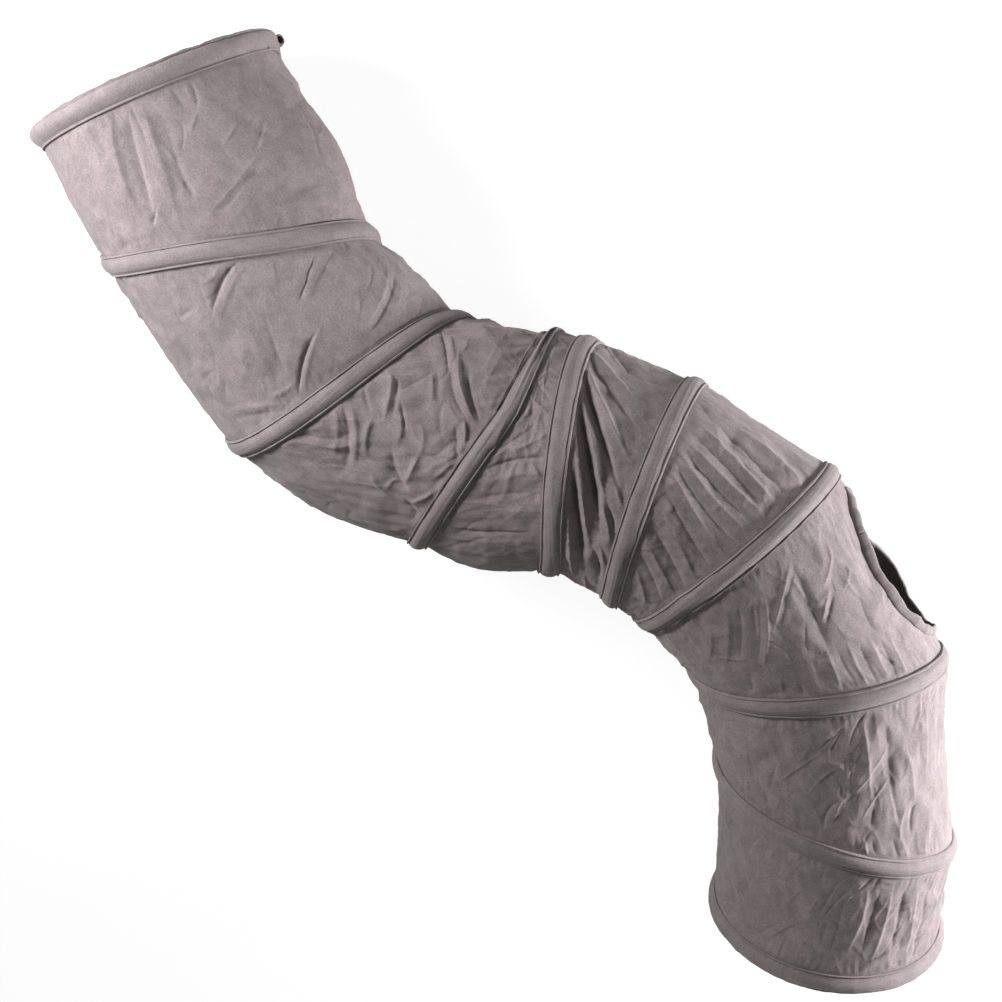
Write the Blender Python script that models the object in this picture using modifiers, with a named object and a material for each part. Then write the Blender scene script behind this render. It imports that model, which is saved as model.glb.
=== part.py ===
"""Cat tunnel: a spring wire sewn into a fabric tube that lies on the floor in an S.

Metres, +Z up, floor at z = 0. +X runs along the chord from the front mouth to the rear mouth.
Place along the tunnel is counted in rings: ring 1 is the front hoop, ring 10 the rear hoop,
and the rings between mark the turns of the winding, one at each crossing of the top.
"""
import math

import bmesh
import bpy
from mathutils import Matrix, Vector

# Cloth tube and its spring
COVER_RADIUS = 0.1205  # outside of the cloth where a casing is sewn to it
COVER_THICKNESS = 0.0012
WIRE_RADIUS = 0.0015
WIRE_STANDOFF = 0.0021  # from the cloth to the near side of the wire
SEWING_GAP = 0.0005  # between layers that are sewn together
SECTION_GAP = 0.0004  # each section of cloth stops this short of its neighbour's plane

# Casing that holds the wire on the outside of the cloth
CASING_WIDTH = 0.022
CASING_ROLL_WIDTH = 0.0100  # foot of the raised roll
CASING_ROLL_TOP = 0.0054
CASING_THICKNESS = 0.0016
CASING_ROOM = 0.0010  # between the wire and the inside of the roll
CASING_LIMIT = 0.40  # of a section, the most that half a casing takes up where bands crowd

# Hems round the two end hoops
HEM_WIDTH = 0.017  # from the hoop towards the middle of the tunnel
HEM_EDGE = 0.0062  # from the hoop out past the end of the cloth
HEM_THICKNESS = 0.0015
HEM_CLEAR = 0.003  # cloth that stays full size beyond a hem
LAP_PITCH = 0.0038  # between the two runs of wire where a hoop closes on itself
FERRULE_LENGTH = 0.014
FERRULE_WALL = 0.0004
FERRULE_GAP = 0.0002

# Sleeve end that lies on the outside of the front hem
SLEEVE_RADIUS = 0.0040
SLEEVE_BORE = 0.0026
SLEEVE_LENGTH = 0.012
SLEEVE_ANGLE = -30.0
SLEEVE_AHEAD = 0.004

# Turn past a hoop's top at which the wire leaves or joins the hoop
LEAVE = 0.25

# How the tunnel lies: one spacing, one turn to the left in degrees and one sideways step to
# the left for each of the nine sections between rings
START_X = -0.5787
START_Y = -0.0612
START_HEADING = -16.4
SPACINGS = (0.170, 0.170, 0.172, 0.062, 0.074, 0.087, 0.156, 0.184, 0.150)
TURNS = (0.0, 27.0, 22.5, 21.5, -10.5, -26.0, -31.0, -27.5, 0.0)
SIDESTEPS = (0.011, 0.0, 0.033, 0.004, -0.029, -0.009, -0.001, 0.0, 0.005)

# How far the top of each turn between the hoops leads an even spiral, in rings. Its bottom
# trails by as much, so the turn leans.
LEADS = (-0.11, -0.05, -0.13, 0.09, 0.04, 0.05, 0.04, -0.04)

# Slack cloth between the bands
SAG_SHARE = 0.05  # of the free width of cloth
SAG_LIMIT = 0.0050
FOLD_DEPTH = 0.0055
FOLD_COUNT = 7
FOLD_SHARPNESS = 3
FOLD_LEAN = 0.9  # turns of fold phase from one ring to the next

# Peephole on the left of the tunnel, after the second bend
PEEPHOLE_RING = 7.76
PEEPHOLE_ANGLE = -4.0
PEEPHOLE_LENGTH = 0.168
PEEPHOLE_HEIGHT = 0.115
BINDING_RADIUS = 0.0040
BINDING_GAP = 0.0012

# Closed pitch of the spring, which sets how far each joint travels
CLOSED_PITCH = 0.014

# Flats where the casings and hems stand on the floor
FLAT_DEPTH = 0.0005

# Fineness of the solids
AROUND = 30
WIRE_POINTS = 24
ROW_LENGTH = 0.031
FEWEST_ROWS = 4
BINDING_POINTS = 36

# Worked out from the sizes above
RINGS = len(SPACINGS) + 1
WIRE_CENTRE = COVER_RADIUS + WIRE_STANDOFF + WIRE_RADIUS
ROLL_INSIDE = WIRE_CENTRE + WIRE_RADIUS + CASING_ROOM
OUTSIDE = ROLL_INSIDE + CASING_THICKNESS
AXIS_HEIGHT = OUTSIDE - FLAT_DEPTH
LAYER_INSIDE = COVER_RADIUS + SEWING_GAP
HELIX_START = 1 + LEAVE
HELIX_END = RINGS - LEAVE
BLEND = 2 * LEAVE


# How the tunnel lies

def left_of(heading):
    return Vector((-math.sin(heading), math.cos(heading), 0.0))


def ahead_of(heading):
    return Vector((math.cos(heading), math.sin(heading), 0.0))


def ring_layout():
    """Centre and heading of each ring, walked from the front one."""
    centre = Vector((START_X, START_Y, AXIS_HEIGHT))
    heading = math.radians(START_HEADING)
    layout = [(centre, heading)]
    for spacing, turn, sidestep in zip(SPACINGS, TURNS, SIDESTEPS):
        middle = heading + math.radians(turn) / 2
        centre = centre + spacing * ahead_of(middle) + sidestep * left_of(middle)
        heading = heading + math.radians(turn)
        layout.append((centre, heading))
    return layout


def path_leans(layout):
    """Angle of the centre line to each ring's own axis."""
    leans = []
    for index, (_, heading) in enumerate(layout):
        before = layout[max(index - 1, 0)][0]
        after = layout[min(index + 1, len(layout) - 1)][0]
        run = after - before
        leans.append(math.atan2(run.dot(left_of(heading)), run.dot(ahead_of(heading))))
    return leans


def section_pivot(index):
    """The upright line where the planes of two neighbouring rings meet, or None."""
    (first, heading_1), (second, heading_2) = LAYOUT[index], LAYOUT[index + 1]
    if abs(heading_2 - heading_1) < 1e-6:
        return None
    side_1, side_2 = left_of(heading_1), left_of(heading_2)
    gap = second - first
    spread = side_1.x * side_2.y - side_1.y * side_2.x
    reach = (gap.x * side_2.y - gap.y * side_2.x) / spread
    return first + reach * side_1


LAYOUT = ring_layout()
LEANS = path_leans(LAYOUT)
PIVOTS = [section_pivot(index) for index in range(RINGS - 1)]


def hermite(start, end, slope_start, slope_end, share):
    s = share
    return (
        (2 * s**3 - 3 * s**2 + 1) * start
        + (s**3 - 2 * s**2 + s) * slope_start
        + (3 * s**2 - 2 * s**3) * end
        + (s**3 - s**2) * slope_end
    )


def frame_at(ring):
    """Centre and heading of the plane at a place along the tunnel.

    Between two rings the plane fans round the line where their planes meet, so no two
    planes cross inside the tube. Between parallel rings it slides.
    """
    index = min(max(int(ring) - 1, 0), RINGS - 2)
    share = ring - 1 - index
    (first, heading), (second, heading_2) = LAYOUT[index], LAYOUT[index + 1]
    lean_1, lean_2 = math.tan(LEANS[index]), math.tan(LEANS[index + 1])
    pivot = PIVOTS[index]
    if pivot is None:
        run = (second - first).dot(ahead_of(heading))
        step = (second - first).dot(left_of(heading))
        side = hermite(0.0, step, run * lean_1, run * lean_2, share)
        return first + run * share * ahead_of(heading) + side * left_of(heading), heading
    turn = heading_2 - heading
    reach_1 = (pivot - first).dot(left_of(heading))
    reach_2 = (pivot - second).dot(left_of(heading_2))
    slope_1, slope_2 = -reach_1 * turn * lean_1, -reach_2 * turn * lean_2
    reach = hermite(reach_1, reach_2, slope_1, slope_2, share)
    heading = heading + turn * share
    return pivot - reach * left_of(heading), heading


def place(ring, angle, radius, ahead=0.0):
    """A point of the tube: angle 0 is its left side, 90 degrees the top."""
    centre, heading = frame_at(ring)
    side = radius * math.cos(angle)
    rise = radius * math.sin(angle)
    return centre + side * left_of(heading) + ahead * ahead_of(heading) + Vector((0, 0, rise))


LINE_STEPS = 40  # to a ring, in the tables of distance along the tube
LINES = {}


def line_along(angle):
    """Distance run along the cloth at one angle, at even steps of ring."""
    key = round(math.degrees(angle) * 1000) % 360000
    if key not in LINES:
        count = LINE_STEPS * (RINGS - 1)
        spots = [place(1 + i / LINE_STEPS, angle, COVER_RADIUS) for i in range(count + 1)]
        total = [0.0]
        for here, there in zip(spots, spots[1:]):
            total.append(total[-1] + (there - here).length)
        LINES[key] = total
    return LINES[key]


def distance_at(ring, angle):
    line = line_along(angle)
    spot = min(max((ring - 1) * LINE_STEPS, 0.0), len(line) - 1.0)
    index = min(int(spot), len(line) - 2)
    return line[index] + (spot - index) * (line[index + 1] - line[index])


def ring_at(distance, angle):
    line = line_along(angle)
    low, high = 0, len(line) - 1
    while high - low > 1:
        middle = (low + high) // 2
        if line[middle] <= distance:
            low = middle
        else:
            high = middle
    share = (distance - line[low]) / (line[high] - line[low])
    return 1 + (low + share) / LINE_STEPS


# The winding: turns are counted so that turn k crosses the top at ring k

def angle_of(turn):
    """Left-handed: over the top from right to left, then back underneath."""
    return math.pi / 2 - 2 * math.pi * turn


def lap_share(turn, start):
    """0 to 1 over the part of a hoop that isn't lapped."""
    free = 1 - 1 / WIRE_POINTS
    share = min(max((turn - start - 1 / WIRE_POINTS) / (free - 1 / WIRE_POINTS), 0.0), 1.0)
    return share * share * (3 - 2 * share)


def lead_at(turn):
    """Rings by which the winding leads an even spiral, or trails it, at one turn."""
    turns = (HELIX_START, *range(2, RINGS), HELIX_END)
    leads = (0.0, *LEADS, 0.0)
    index = max(i for i in range(RINGS - 1) if turns[i] <= turn)
    share = (turn - turns[index]) / (turns[index + 1] - turns[index])
    ease = share * share * (3 - 2 * share)
    lead = leads[index] + (leads[index + 1] - leads[index]) * ease
    return lead * math.cos(2 * math.pi * turn)


def winding(turn):
    """Ring that the wire has reached, and its step ahead of that ring's plane."""
    lap = LAP_PITCH / 2
    if turn <= HELIX_START:
        return 1.0, lap * (2 * lap_share(turn, HELIX_START - 1 - 1 / WIRE_POINTS) - 1)
    if turn >= HELIX_END:
        return float(RINGS), lap * (2 * lap_share(turn, HELIX_END) - 1)
    if turn < HELIX_START + BLEND:
        share = (turn - HELIX_START) / BLEND
        first = 1 + lap / SPACINGS[0]
        ring = hermite(first, HELIX_START + BLEND, 0.0, BLEND, share)
        return ring + lead_at(turn), 0.0
    if turn > HELIX_END - BLEND:
        share = (turn - HELIX_END + BLEND) / BLEND
        last = RINGS - lap / SPACINGS[-1]
        ring = hermite(HELIX_END - BLEND, last, BLEND, 0.0, share)
        return ring + lead_at(turn), 0.0
    return turn + lead_at(turn), 0.0


def bands_at(angle):
    """Rings of every band that crosses one line along the tube, hoops included."""
    part = (math.pi / 2 - angle) / (2 * math.pi) % 1.0
    turns = [whole + part for whole in range(1, RINGS)]
    inner = [winding(turn)[0] for turn in turns if HELIX_START < turn < HELIX_END]
    return [1.0] + inner + [float(RINGS)]


def band_edges(ring, angle):
    """Rings of the two edges of a band that is centred on a ring."""
    middle = distance_at(ring, angle)
    low = ring_at(middle - CASING_WIDTH / 2, angle)
    high = ring_at(middle + CASING_WIDTH / 2, angle)
    return max(low, ring - CASING_LIMIT), min(high, ring + CASING_LIMIT)


def pulled_in(ring, angle, start, end):
    """How far inside its full radius the cloth runs where it is straight from band to band."""
    near = place(ring_at(start, angle), angle, COVER_RADIUS)
    far = place(ring_at(end, angle), angle, COVER_RADIUS)
    centre, heading = frame_at(ring)
    ahead = ahead_of(heading)
    share = (centre - near).dot(ahead) / (far - near).dot(ahead)
    spot = near + share * (far - near) - centre
    out = math.cos(angle) * left_of(heading) + Vector((0, 0, math.sin(angle)))
    return max(COVER_RADIUS - spot.dot(out), 0.0)


def cloth_radius(ring, angle):
    """Outside of the cloth: full size under the bands, slack and folded between them."""
    bands = bands_at(angle)
    for near, far in zip(bands, bands[1:]):
        if near <= ring <= far:
            start = distance_at(band_edges(near, angle)[1], angle)
            end = distance_at(band_edges(far, angle)[0], angle)
            start = max(start, HEM_WIDTH + HEM_CLEAR)
            end = min(end, distance_at(RINGS, angle) - HEM_WIDTH - HEM_CLEAR)
            width = end - start
            share = (distance_at(ring, angle) - start) / max(width, 1e-6)
            if width < SEWING_GAP or not 0 < share < 1:
                return COVER_RADIUS
            slack = min(SAG_SHARE * width, SAG_LIMIT)
            wave = 0.5 + 0.5 * math.cos(FOLD_COUNT * angle + 2 * math.pi * FOLD_LEAN * ring)
            fold = min(FOLD_DEPTH, SAG_SHARE * width) * wave**FOLD_SHARPNESS
            drop = pulled_in(ring, angle, start, end)
            return COVER_RADIUS - drop - (slack + fold) * math.sin(math.pi * share)
    return COVER_RADIUS


# Making objects

def clear_scene():
    for item in list(bpy.data.objects):
        bpy.data.objects.remove(item, do_unlink=True)


def new_collection(name):
    group = bpy.data.collections.new(name)
    bpy.context.scene.collection.children.link(group)
    return group


def new_material(name, colour, roughness, metallic):
    material = bpy.data.materials.new(name)
    material.use_nodes = True
    shader = material.node_tree.nodes["Principled BSDF"]
    shader.inputs["Base Color"].default_value = (*colour, 1.0)
    shader.inputs["Roughness"].default_value = roughness
    shader.inputs["Metallic"].default_value = metallic
    material.diffuse_color = (*colour, 1.0)
    return material


def add_axis(body, spot):
    """The empty that a body's pieces hang from, on the body's joint."""
    axis = bpy.data.objects.new(f"section_{body:02d}_axis", None)
    axis.location = spot
    axis.empty_display_size = 0.05
    PARTS.objects.link(axis)
    AXES[body] = axis


def add_object(name, data, body, material, location=(0, 0, 0)):
    item = bpy.data.objects.new(name, data)
    item.parent = AXES[body]
    item.location = location
    data.materials.append(material)
    PARTS.objects.link(item)
    return item


def add_surface(name, rows, body, material, closed=False):
    """An open surface through rows of points, smooth shaded, in its body's own frame."""
    origin = AXES[body].location
    mesh = bpy.data.meshes.new(name)
    form = bmesh.new()
    lines = [[form.verts.new(spot - origin) for spot in row] for row in rows]
    for near, far in zip(lines, lines[1:]):
        count = len(near) if closed else len(near) - 1
        for i in range(count):
            j = (i + 1) % len(near)
            form.faces.new((near[i], far[i], far[j], near[j]))
    form.to_mesh(mesh)
    form.free()
    mesh.shade_smooth()
    mesh.set_sharp_from_angle(angle=math.radians(40))
    return add_object(name, mesh, body, material)


def thicken(item, thickness, outwards):
    shell = item.modifiers.new("thickness", "SOLIDIFY")
    shell.thickness = thickness
    shell.offset = 1.0 if outwards else -1.0
    shell.use_rim = True


def cut_with(item, cutter, name):
    cut = item.modifiers.new(name, "BOOLEAN")
    cut.operation = "DIFFERENCE"
    cut.object = cutter
    cut.solver = "EXACT"


def hide_cutter(item):
    item.hide_render = True
    item.display_type = "WIRE"
    CUTTERS.objects.link(item)


def add_tube(name, spots, radius, body, material, cyclic=False):
    """A round rod through a list of points."""
    origin = AXES[body].location
    curve = bpy.data.curves.new(name, "CURVE")
    curve.dimensions = "3D"
    curve.bevel_depth = radius
    curve.bevel_resolution = 1
    curve.use_fill_caps = not cyclic
    spline = curve.splines.new("POLY")
    spline.points.add(len(spots) - 1)
    spline.use_cyclic_u = cyclic
    spline.use_smooth = True
    for point, spot in zip(spline.points, spots):
        point.co = (*(spot - origin), 1.0)
    return add_object(name, curve, body, material)


# Joints

def add_axes():
    """One empty for each section, at the pivot or on the slide line of its joint."""
    add_axis(1, LAYOUT[0][0])
    for index, pivot in enumerate(PIVOTS):
        add_axis(index + 2, LAYOUT[index + 1][0] if pivot is None else pivot)


def print_joints():
    """Place, direction and travel of each joint, which closes its section of the spring."""
    for index, pivot in enumerate(PIVOTS):
        keep = CLOSED_PITCH / SPACINGS[index]
        heading = LAYOUT[index][1]
        if pivot is None:
            travel = (LAYOUT[index + 1][0] - LAYOUT[index][0]).dot(ahead_of(heading)) * (1 - keep)
            back = -ahead_of(heading)
            print(f"joint {index + 1}: slide along {back.x:.5f} {back.y:.5f}, {travel:.5f} m")
            continue
        turn = abs(math.radians(TURNS[index]))
        closed = 2 * math.atan(keep * math.tan(turn / 2))
        print(
            f"joint {index + 1}: hinge at {pivot.x:.5f} {pivot.y:.5f}, axis z "
            f"{-1 if TURNS[index] > 0 else 1}, {math.degrees(turn - closed):.3f} degrees, "
            f"keep {keep:.4f}"
        )


# Sub-parts

def cover_rings(body):
    """Rings of the rows of one panel: even, with one just past the hem at either end."""
    low = max(body - 0.5, 1.0)
    high = min(body + 0.5, float(RINGS))
    length = (frame_at(high)[0] - frame_at(low)[0]).length
    count = max(round(length / ROW_LENGTH), FEWEST_ROWS)
    if 1 < body < RINGS:
        return [low + (high - low) * i / count for i in range(count + 1)]
    hem = (HEM_WIDTH + HEM_CLEAR) / (SPACINGS[0] if body == 1 else SPACINGS[-1])
    free = [hem + (high - low - hem) * i / count for i in range(count + 1)]
    if body == 1:
        return [low] + [low + step for step in free]
    return [high - step for step in reversed(free)] + [high]


def cover_rows(body):
    """Rows of points round the tube, from one middle plane to the next."""
    rings = cover_rings(body)
    rows = []
    for i, ring in enumerate(rings):
        trim = 0.0
        if i == 0 and body > 1:
            trim = SECTION_GAP
        if i == len(rings) - 1 and body < RINGS:
            trim = -SECTION_GAP
        row = []
        for j in range(AROUND):
            angle = angle_of(j / AROUND)
            row.append(place(ring, angle, cloth_radius(ring, angle), trim))
        rows.append(row)
    return rows


def add_covers(material):
    covers = {}
    for body in range(1, RINGS + 1):
        name = f"cover_panel_{body:02d}"
        covers[body] = add_surface(name, cover_rows(body), body, material, closed=True)
        thicken(covers[body], COVER_THICKNESS, outwards=False)
    return covers


def casing_row(turn, trim=0.0):
    """Inside of the casing across the wire: seam, foot, roll, roll, foot, seam."""
    angle = angle_of(turn)
    ring = winding(turn)[0]
    middle = distance_at(ring, angle)
    low, high = band_edges(ring, angle)
    hem_low = distance_at(1.0, angle) + HEM_WIDTH + SEWING_GAP
    hem_high = distance_at(float(RINGS), angle) - HEM_WIDTH - SEWING_GAP
    start = max(distance_at(low, angle), hem_low)
    end = min(distance_at(high, angle), hem_high)
    row = []
    for side, free in ((-1, middle - start), (1, end - middle)):
        foot = min(CASING_ROLL_WIDTH / 2, 0.80 * free)
        top = min(CASING_ROLL_TOP / 2, 0.62 * free)
        marks = [(free, LAYER_INSIDE), (foot, LAYER_INSIDE), (top, ROLL_INSIDE)]
        if side > 0:
            marks.reverse()
        for reach, radius in marks:
            spot = place(ring_at(middle + side * reach, angle), angle, radius)
            along = place(ring, angle + 0.01, radius) - place(ring, angle, radius)
            row.append(spot + trim * along.normalized())
    return row


def free_of_hem(turn):
    """Whether the casing's foot clears the hems at this turn."""
    angle = angle_of(turn)
    middle = distance_at(winding(turn)[0], angle)
    room = HEM_WIDTH + SEWING_GAP + CASING_ROLL_WIDTH * 0.55
    last = distance_at(float(RINGS), angle)
    return room < middle < last - room


def add_casings(material, floor):
    """One turn of casing to a section, from underneath, over the top and back."""
    for body in range(1, RINGS + 1):
        steps = [(body - 0.5) + i / AROUND for i in range(AROUND + 1)]
        steps = [s for s in steps if HELIX_START <= s <= HELIX_END and free_of_hem(s)]
        rows = []
        for step in steps:
            trim = 0.0
            if step == steps[0]:
                trim = -SECTION_GAP
            if step == steps[-1]:
                trim = SECTION_GAP
            rows.append(casing_row(step, trim))
        rows = [list(row) for row in zip(*rows)]
        name = f"casing_turn_{body:02d}"
        casing = add_surface(name, rows, body, material)
        thicken(casing, CASING_THICKNESS, outwards=True)
        cut_with(casing, floor, "floor")


def wire_turns():
    """Turns at the wire's points, with one exactly where it leaves and joins the hoops."""
    hoop = [i / WIRE_POINTS for i in range(WIRE_POINTS + 2)]
    wound = HELIX_END - HELIX_START
    count = round(wound * WIRE_POINTS)
    front = [HELIX_START - i for i in reversed(hoop[1:])]
    middle = [HELIX_START + wound * i / count for i in range(count)]
    return front + middle + [HELIX_END + i for i in hoop]


def wire_spots():
    """The whole wire: front hoop, winding and rear hoop in one piece."""
    spots = []
    for turn in wire_turns():
        ring, ahead = winding(turn)
        spots.append(place(ring, angle_of(turn), WIRE_CENTRE, ahead))
    return spots


def add_wire(material):
    spots = wire_spots()
    add_tube("spring_wire", spots, WIRE_RADIUS, 1, material)
    least = min(
        (one - other).length
        for i, one in enumerate(spots)
        for other in spots[i + WIRE_POINTS // 2:]
    )
    print(f"least gap of the wire to itself {1000 * (least - 2 * WIRE_RADIUS):.2f} mm")


def stadium(curve, half_width, half_height):
    """A flat loop with round ends."""
    bend = 8
    centre = half_width - half_height
    spline = curve.splines.new("POLY")
    spline.points.add(2 * (bend + 1) - 1)
    spline.use_cyclic_u = True
    for i in range(2 * (bend + 1)):
        end = 1 if i <= bend else -1
        step = i if i <= bend else i - bend - 1
        angle = -math.pi / 2 + math.pi * step / bend + (0 if end > 0 else math.pi)
        x = end * centre + half_height * math.cos(angle)
        spline.points[i].co = (x, half_height * math.sin(angle), 0.0, 1.0)


def add_ferrule(name, body, turn, material):
    """A pressed sleeve round the two runs of wire where a hoop closes."""
    ring = winding(turn)[0]
    half = 0.5 / WIRE_POINTS
    ends = [place(ring, angle_of(turn + step), WIRE_CENTRE) for step in (-half, half)]
    along = (ends[1] - ends[0]).normalized()
    across = ahead_of(LAYOUT[body - 1][1])
    curve = bpy.data.curves.new(name, "CURVE")
    curve.dimensions = "2D"
    curve.fill_mode = "BOTH"
    curve.extrude = FERRULE_LENGTH / 2
    inside = WIRE_RADIUS + FERRULE_GAP
    outside = inside + FERRULE_WALL
    stadium(curve, LAP_PITCH / 2 + outside, outside)
    stadium(curve, LAP_PITCH / 2 + inside, inside)
    middle = (ends[0] + ends[1]) / 2
    item = add_object(name, curve, body, material, middle - AXES[body].location)
    turned = Matrix((across, along.cross(across), along)).transposed()
    item.rotation_euler = turned.to_euler()


def hem_profile():
    """The hem folded round the hoop, from its inner edge out and back: ahead, radius."""
    inner = COVER_RADIUS - COVER_THICKNESS - SEWING_GAP - HEM_THICKNESS
    middle = (inner + OUTSIDE) / 2
    half = (OUTSIDE - inner) / 2
    bend = 4
    marks = [(HEM_WIDTH, inner), (0.0, inner)]
    for i in range(bend + 1):
        angle = math.pi * i / bend
        ahead = half * 0.7 - HEM_EDGE - half * 0.7 * math.sin(angle)
        marks.append((ahead, middle - half * math.cos(angle)))
    marks += [(0.0, OUTSIDE), (HEM_WIDTH, OUTSIDE)]
    return marks


def hem_spot(ring, mirror, ahead, angle, radius):
    """Inside the tunnel the hem follows the cloth, past the hoop it goes straight on."""
    if ahead <= 0:
        return place(ring, angle, radius, mirror * ahead)
    start = distance_at(ring, angle)
    return place(ring_at(start + mirror * ahead, angle), angle, radius)


def add_hem(name, body, material, floor):
    ring = float(body)
    mirror = 1 if body == 1 else -1
    rows = []
    for ahead, radius in hem_profile():
        row = []
        for j in range(AROUND):
            angle = mirror * angle_of(j / AROUND) + (0 if mirror > 0 else math.pi)
            row.append(hem_spot(ring, mirror, ahead, angle, radius))
        rows.append(row)
    hem = add_surface(name, rows, body, material, closed=True)
    thicken(hem, HEM_THICKNESS, outwards=False)
    cut_with(hem, floor, "floor")


def peephole_loop(grow):
    """Ring and angle of points round the peephole, grown by a distance."""
    middle = math.radians(PEEPHOLE_ANGLE)
    start = distance_at(PEEPHOLE_RING, middle)
    loop = []
    for i in range(BINDING_POINTS):
        angle = 2 * math.pi * i / BINDING_POINTS
        along = (PEEPHOLE_LENGTH / 2 + grow) * math.cos(angle)
        around = (PEEPHOLE_HEIGHT / 2 + grow) * math.sin(angle)
        loop.append((ring_at(start + along, middle), middle + around / COVER_RADIUS))
    return loop


def add_binding(material):
    spots = []
    for ring, angle in peephole_loop(0.0):
        radius = cloth_radius(ring, angle) - COVER_THICKNESS / 2
        spots.append(place(ring, angle, radius))
    add_tube("peephole_binding", spots, BINDING_RADIUS, 8, material, cyclic=True)


def add_peephole_cutter():
    """A plug that flares from the middle of the tunnel out through the cloth."""
    loop = peephole_loop(BINDING_RADIUS + BINDING_GAP)
    middle = math.radians(PEEPHOLE_ANGLE)
    form = bmesh.new()
    rims = []
    for radius in (COVER_RADIUS * 0.7, COVER_RADIUS * 1.15):
        rim = [form.verts.new(place(ring, angle, radius)) for ring, angle in loop]
        centre = form.verts.new(place(PEEPHOLE_RING, middle, radius))
        rims.append((rim, centre))
    (inner, centre_in), (outer, centre_out) = rims
    for i in range(BINDING_POINTS):
        j = (i + 1) % BINDING_POINTS
        form.faces.new((inner[i], inner[j], outer[j], outer[i]))
        form.faces.new((inner[j], inner[i], centre_in))
        form.faces.new((outer[i], outer[j], centre_out))
    bmesh.ops.recalc_face_normals(form, faces=form.faces[:])
    mesh = bpy.data.meshes.new("peephole_cutter")
    form.to_mesh(mesh)
    form.free()
    cutter = bpy.data.objects.new("peephole_cutter", mesh)
    hide_cutter(cutter)
    return cutter


def add_floor_cutter():
    """Everything under the floor, which leaves the flats that the tunnel stands on."""
    depth = 0.05
    form = bmesh.new()
    bmesh.ops.create_cube(form, size=1.0)
    bmesh.ops.scale(form, vec=(2.4, 2.4, depth), verts=form.verts[:])
    bmesh.ops.translate(form, vec=(0, 0, -depth / 2), verts=form.verts[:])
    mesh = bpy.data.meshes.new("floor_cutter")
    form.to_mesh(mesh)
    form.free()
    cutter = bpy.data.objects.new("floor_cutter", mesh)
    hide_cutter(cutter)
    return cutter


def add_sleeve_end(material):
    """The open end of the hoop's sleeve, sewn down on the outside of the front hem."""
    angle = math.radians(SLEEVE_ANGLE)
    radius = OUTSIDE + SEWING_GAP + SLEEVE_RADIUS
    middle = place(1.0, angle, radius, SLEEVE_AHEAD)
    along = (place(1.0, angle + 0.01, radius, SLEEVE_AHEAD) - middle).normalized()
    profile = bpy.data.meshes.new("sleeve_end")
    form = bmesh.new()
    half = SLEEVE_LENGTH / 2
    corners = ((SLEEVE_RADIUS, half), (SLEEVE_RADIUS, -half), (SLEEVE_BORE, -half), (SLEEVE_BORE, half))
    verts = [form.verts.new((x, 0, z)) for x, z in corners]
    for i in range(4):
        form.edges.new((verts[i], verts[(i + 1) % 4]))
    form.to_mesh(profile)
    form.free()
    item = add_object("sleeve_end", profile, 1, material, middle - AXES[1].location)
    item.rotation_euler = along.to_track_quat("Z", "Y").to_euler()
    turned = item.modifiers.new("turned", "SCREW")
    turned.steps = 20
    turned.render_steps = 20
    turned.use_merge_vertices = True
    turned.merge_threshold = 0.00001
    turned.use_smooth_shade = False


clear_scene()
PARTS = new_collection("cat_tunnel")
CUTTERS = new_collection("cutters")
AXES = {}
SUEDE = new_material("suede", (0.27, 0.235, 0.24), 0.95, 0.0)
CASING_SUEDE = new_material("casing_suede", (0.24, 0.21, 0.213), 0.92, 0.0)
STEEL = new_material("spring_steel", (0.35, 0.36, 0.37), 0.35, 1.0)
ALLOY = new_material("ferrule_alloy", (0.62, 0.62, 0.63), 0.4, 1.0)

add_axes()
FLOOR = add_floor_cutter()
COVERS = add_covers(SUEDE)
PEEPHOLE = add_peephole_cutter()
for crossed in (7, 8):
    cut_with(COVERS[crossed], PEEPHOLE, "peephole")
add_casings(CASING_SUEDE, FLOOR)
add_wire(STEEL)
add_hem("front_hem", 1, CASING_SUEDE, FLOOR)
add_hem("rear_hem", RINGS, CASING_SUEDE, FLOOR)
add_ferrule("wire_ferrule_front", 1, HELIX_START - 0.5 / WIRE_POINTS, ALLOY)
add_ferrule("wire_ferrule_rear", RINGS, HELIX_END + 0.5 / WIRE_POINTS, ALLOY)
add_binding(CASING_SUEDE)
add_sleeve_end(CASING_SUEDE)
print_joints()
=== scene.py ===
import math

import bpy
import numpy as np
from mathutils import Euler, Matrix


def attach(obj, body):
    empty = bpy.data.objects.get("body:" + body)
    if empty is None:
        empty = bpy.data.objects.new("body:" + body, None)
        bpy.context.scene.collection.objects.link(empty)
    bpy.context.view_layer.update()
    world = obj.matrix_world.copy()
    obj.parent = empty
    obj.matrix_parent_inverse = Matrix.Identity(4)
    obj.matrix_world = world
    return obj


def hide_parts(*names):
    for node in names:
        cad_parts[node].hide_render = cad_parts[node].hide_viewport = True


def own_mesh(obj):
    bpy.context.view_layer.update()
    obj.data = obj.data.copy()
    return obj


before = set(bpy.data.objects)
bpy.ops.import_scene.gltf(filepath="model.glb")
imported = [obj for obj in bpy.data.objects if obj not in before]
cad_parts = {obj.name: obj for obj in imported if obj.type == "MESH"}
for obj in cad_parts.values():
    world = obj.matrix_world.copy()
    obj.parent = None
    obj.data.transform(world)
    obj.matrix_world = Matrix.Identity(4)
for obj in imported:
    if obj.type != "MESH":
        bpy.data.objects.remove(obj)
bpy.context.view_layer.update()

tau = 2 * math.pi

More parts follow.
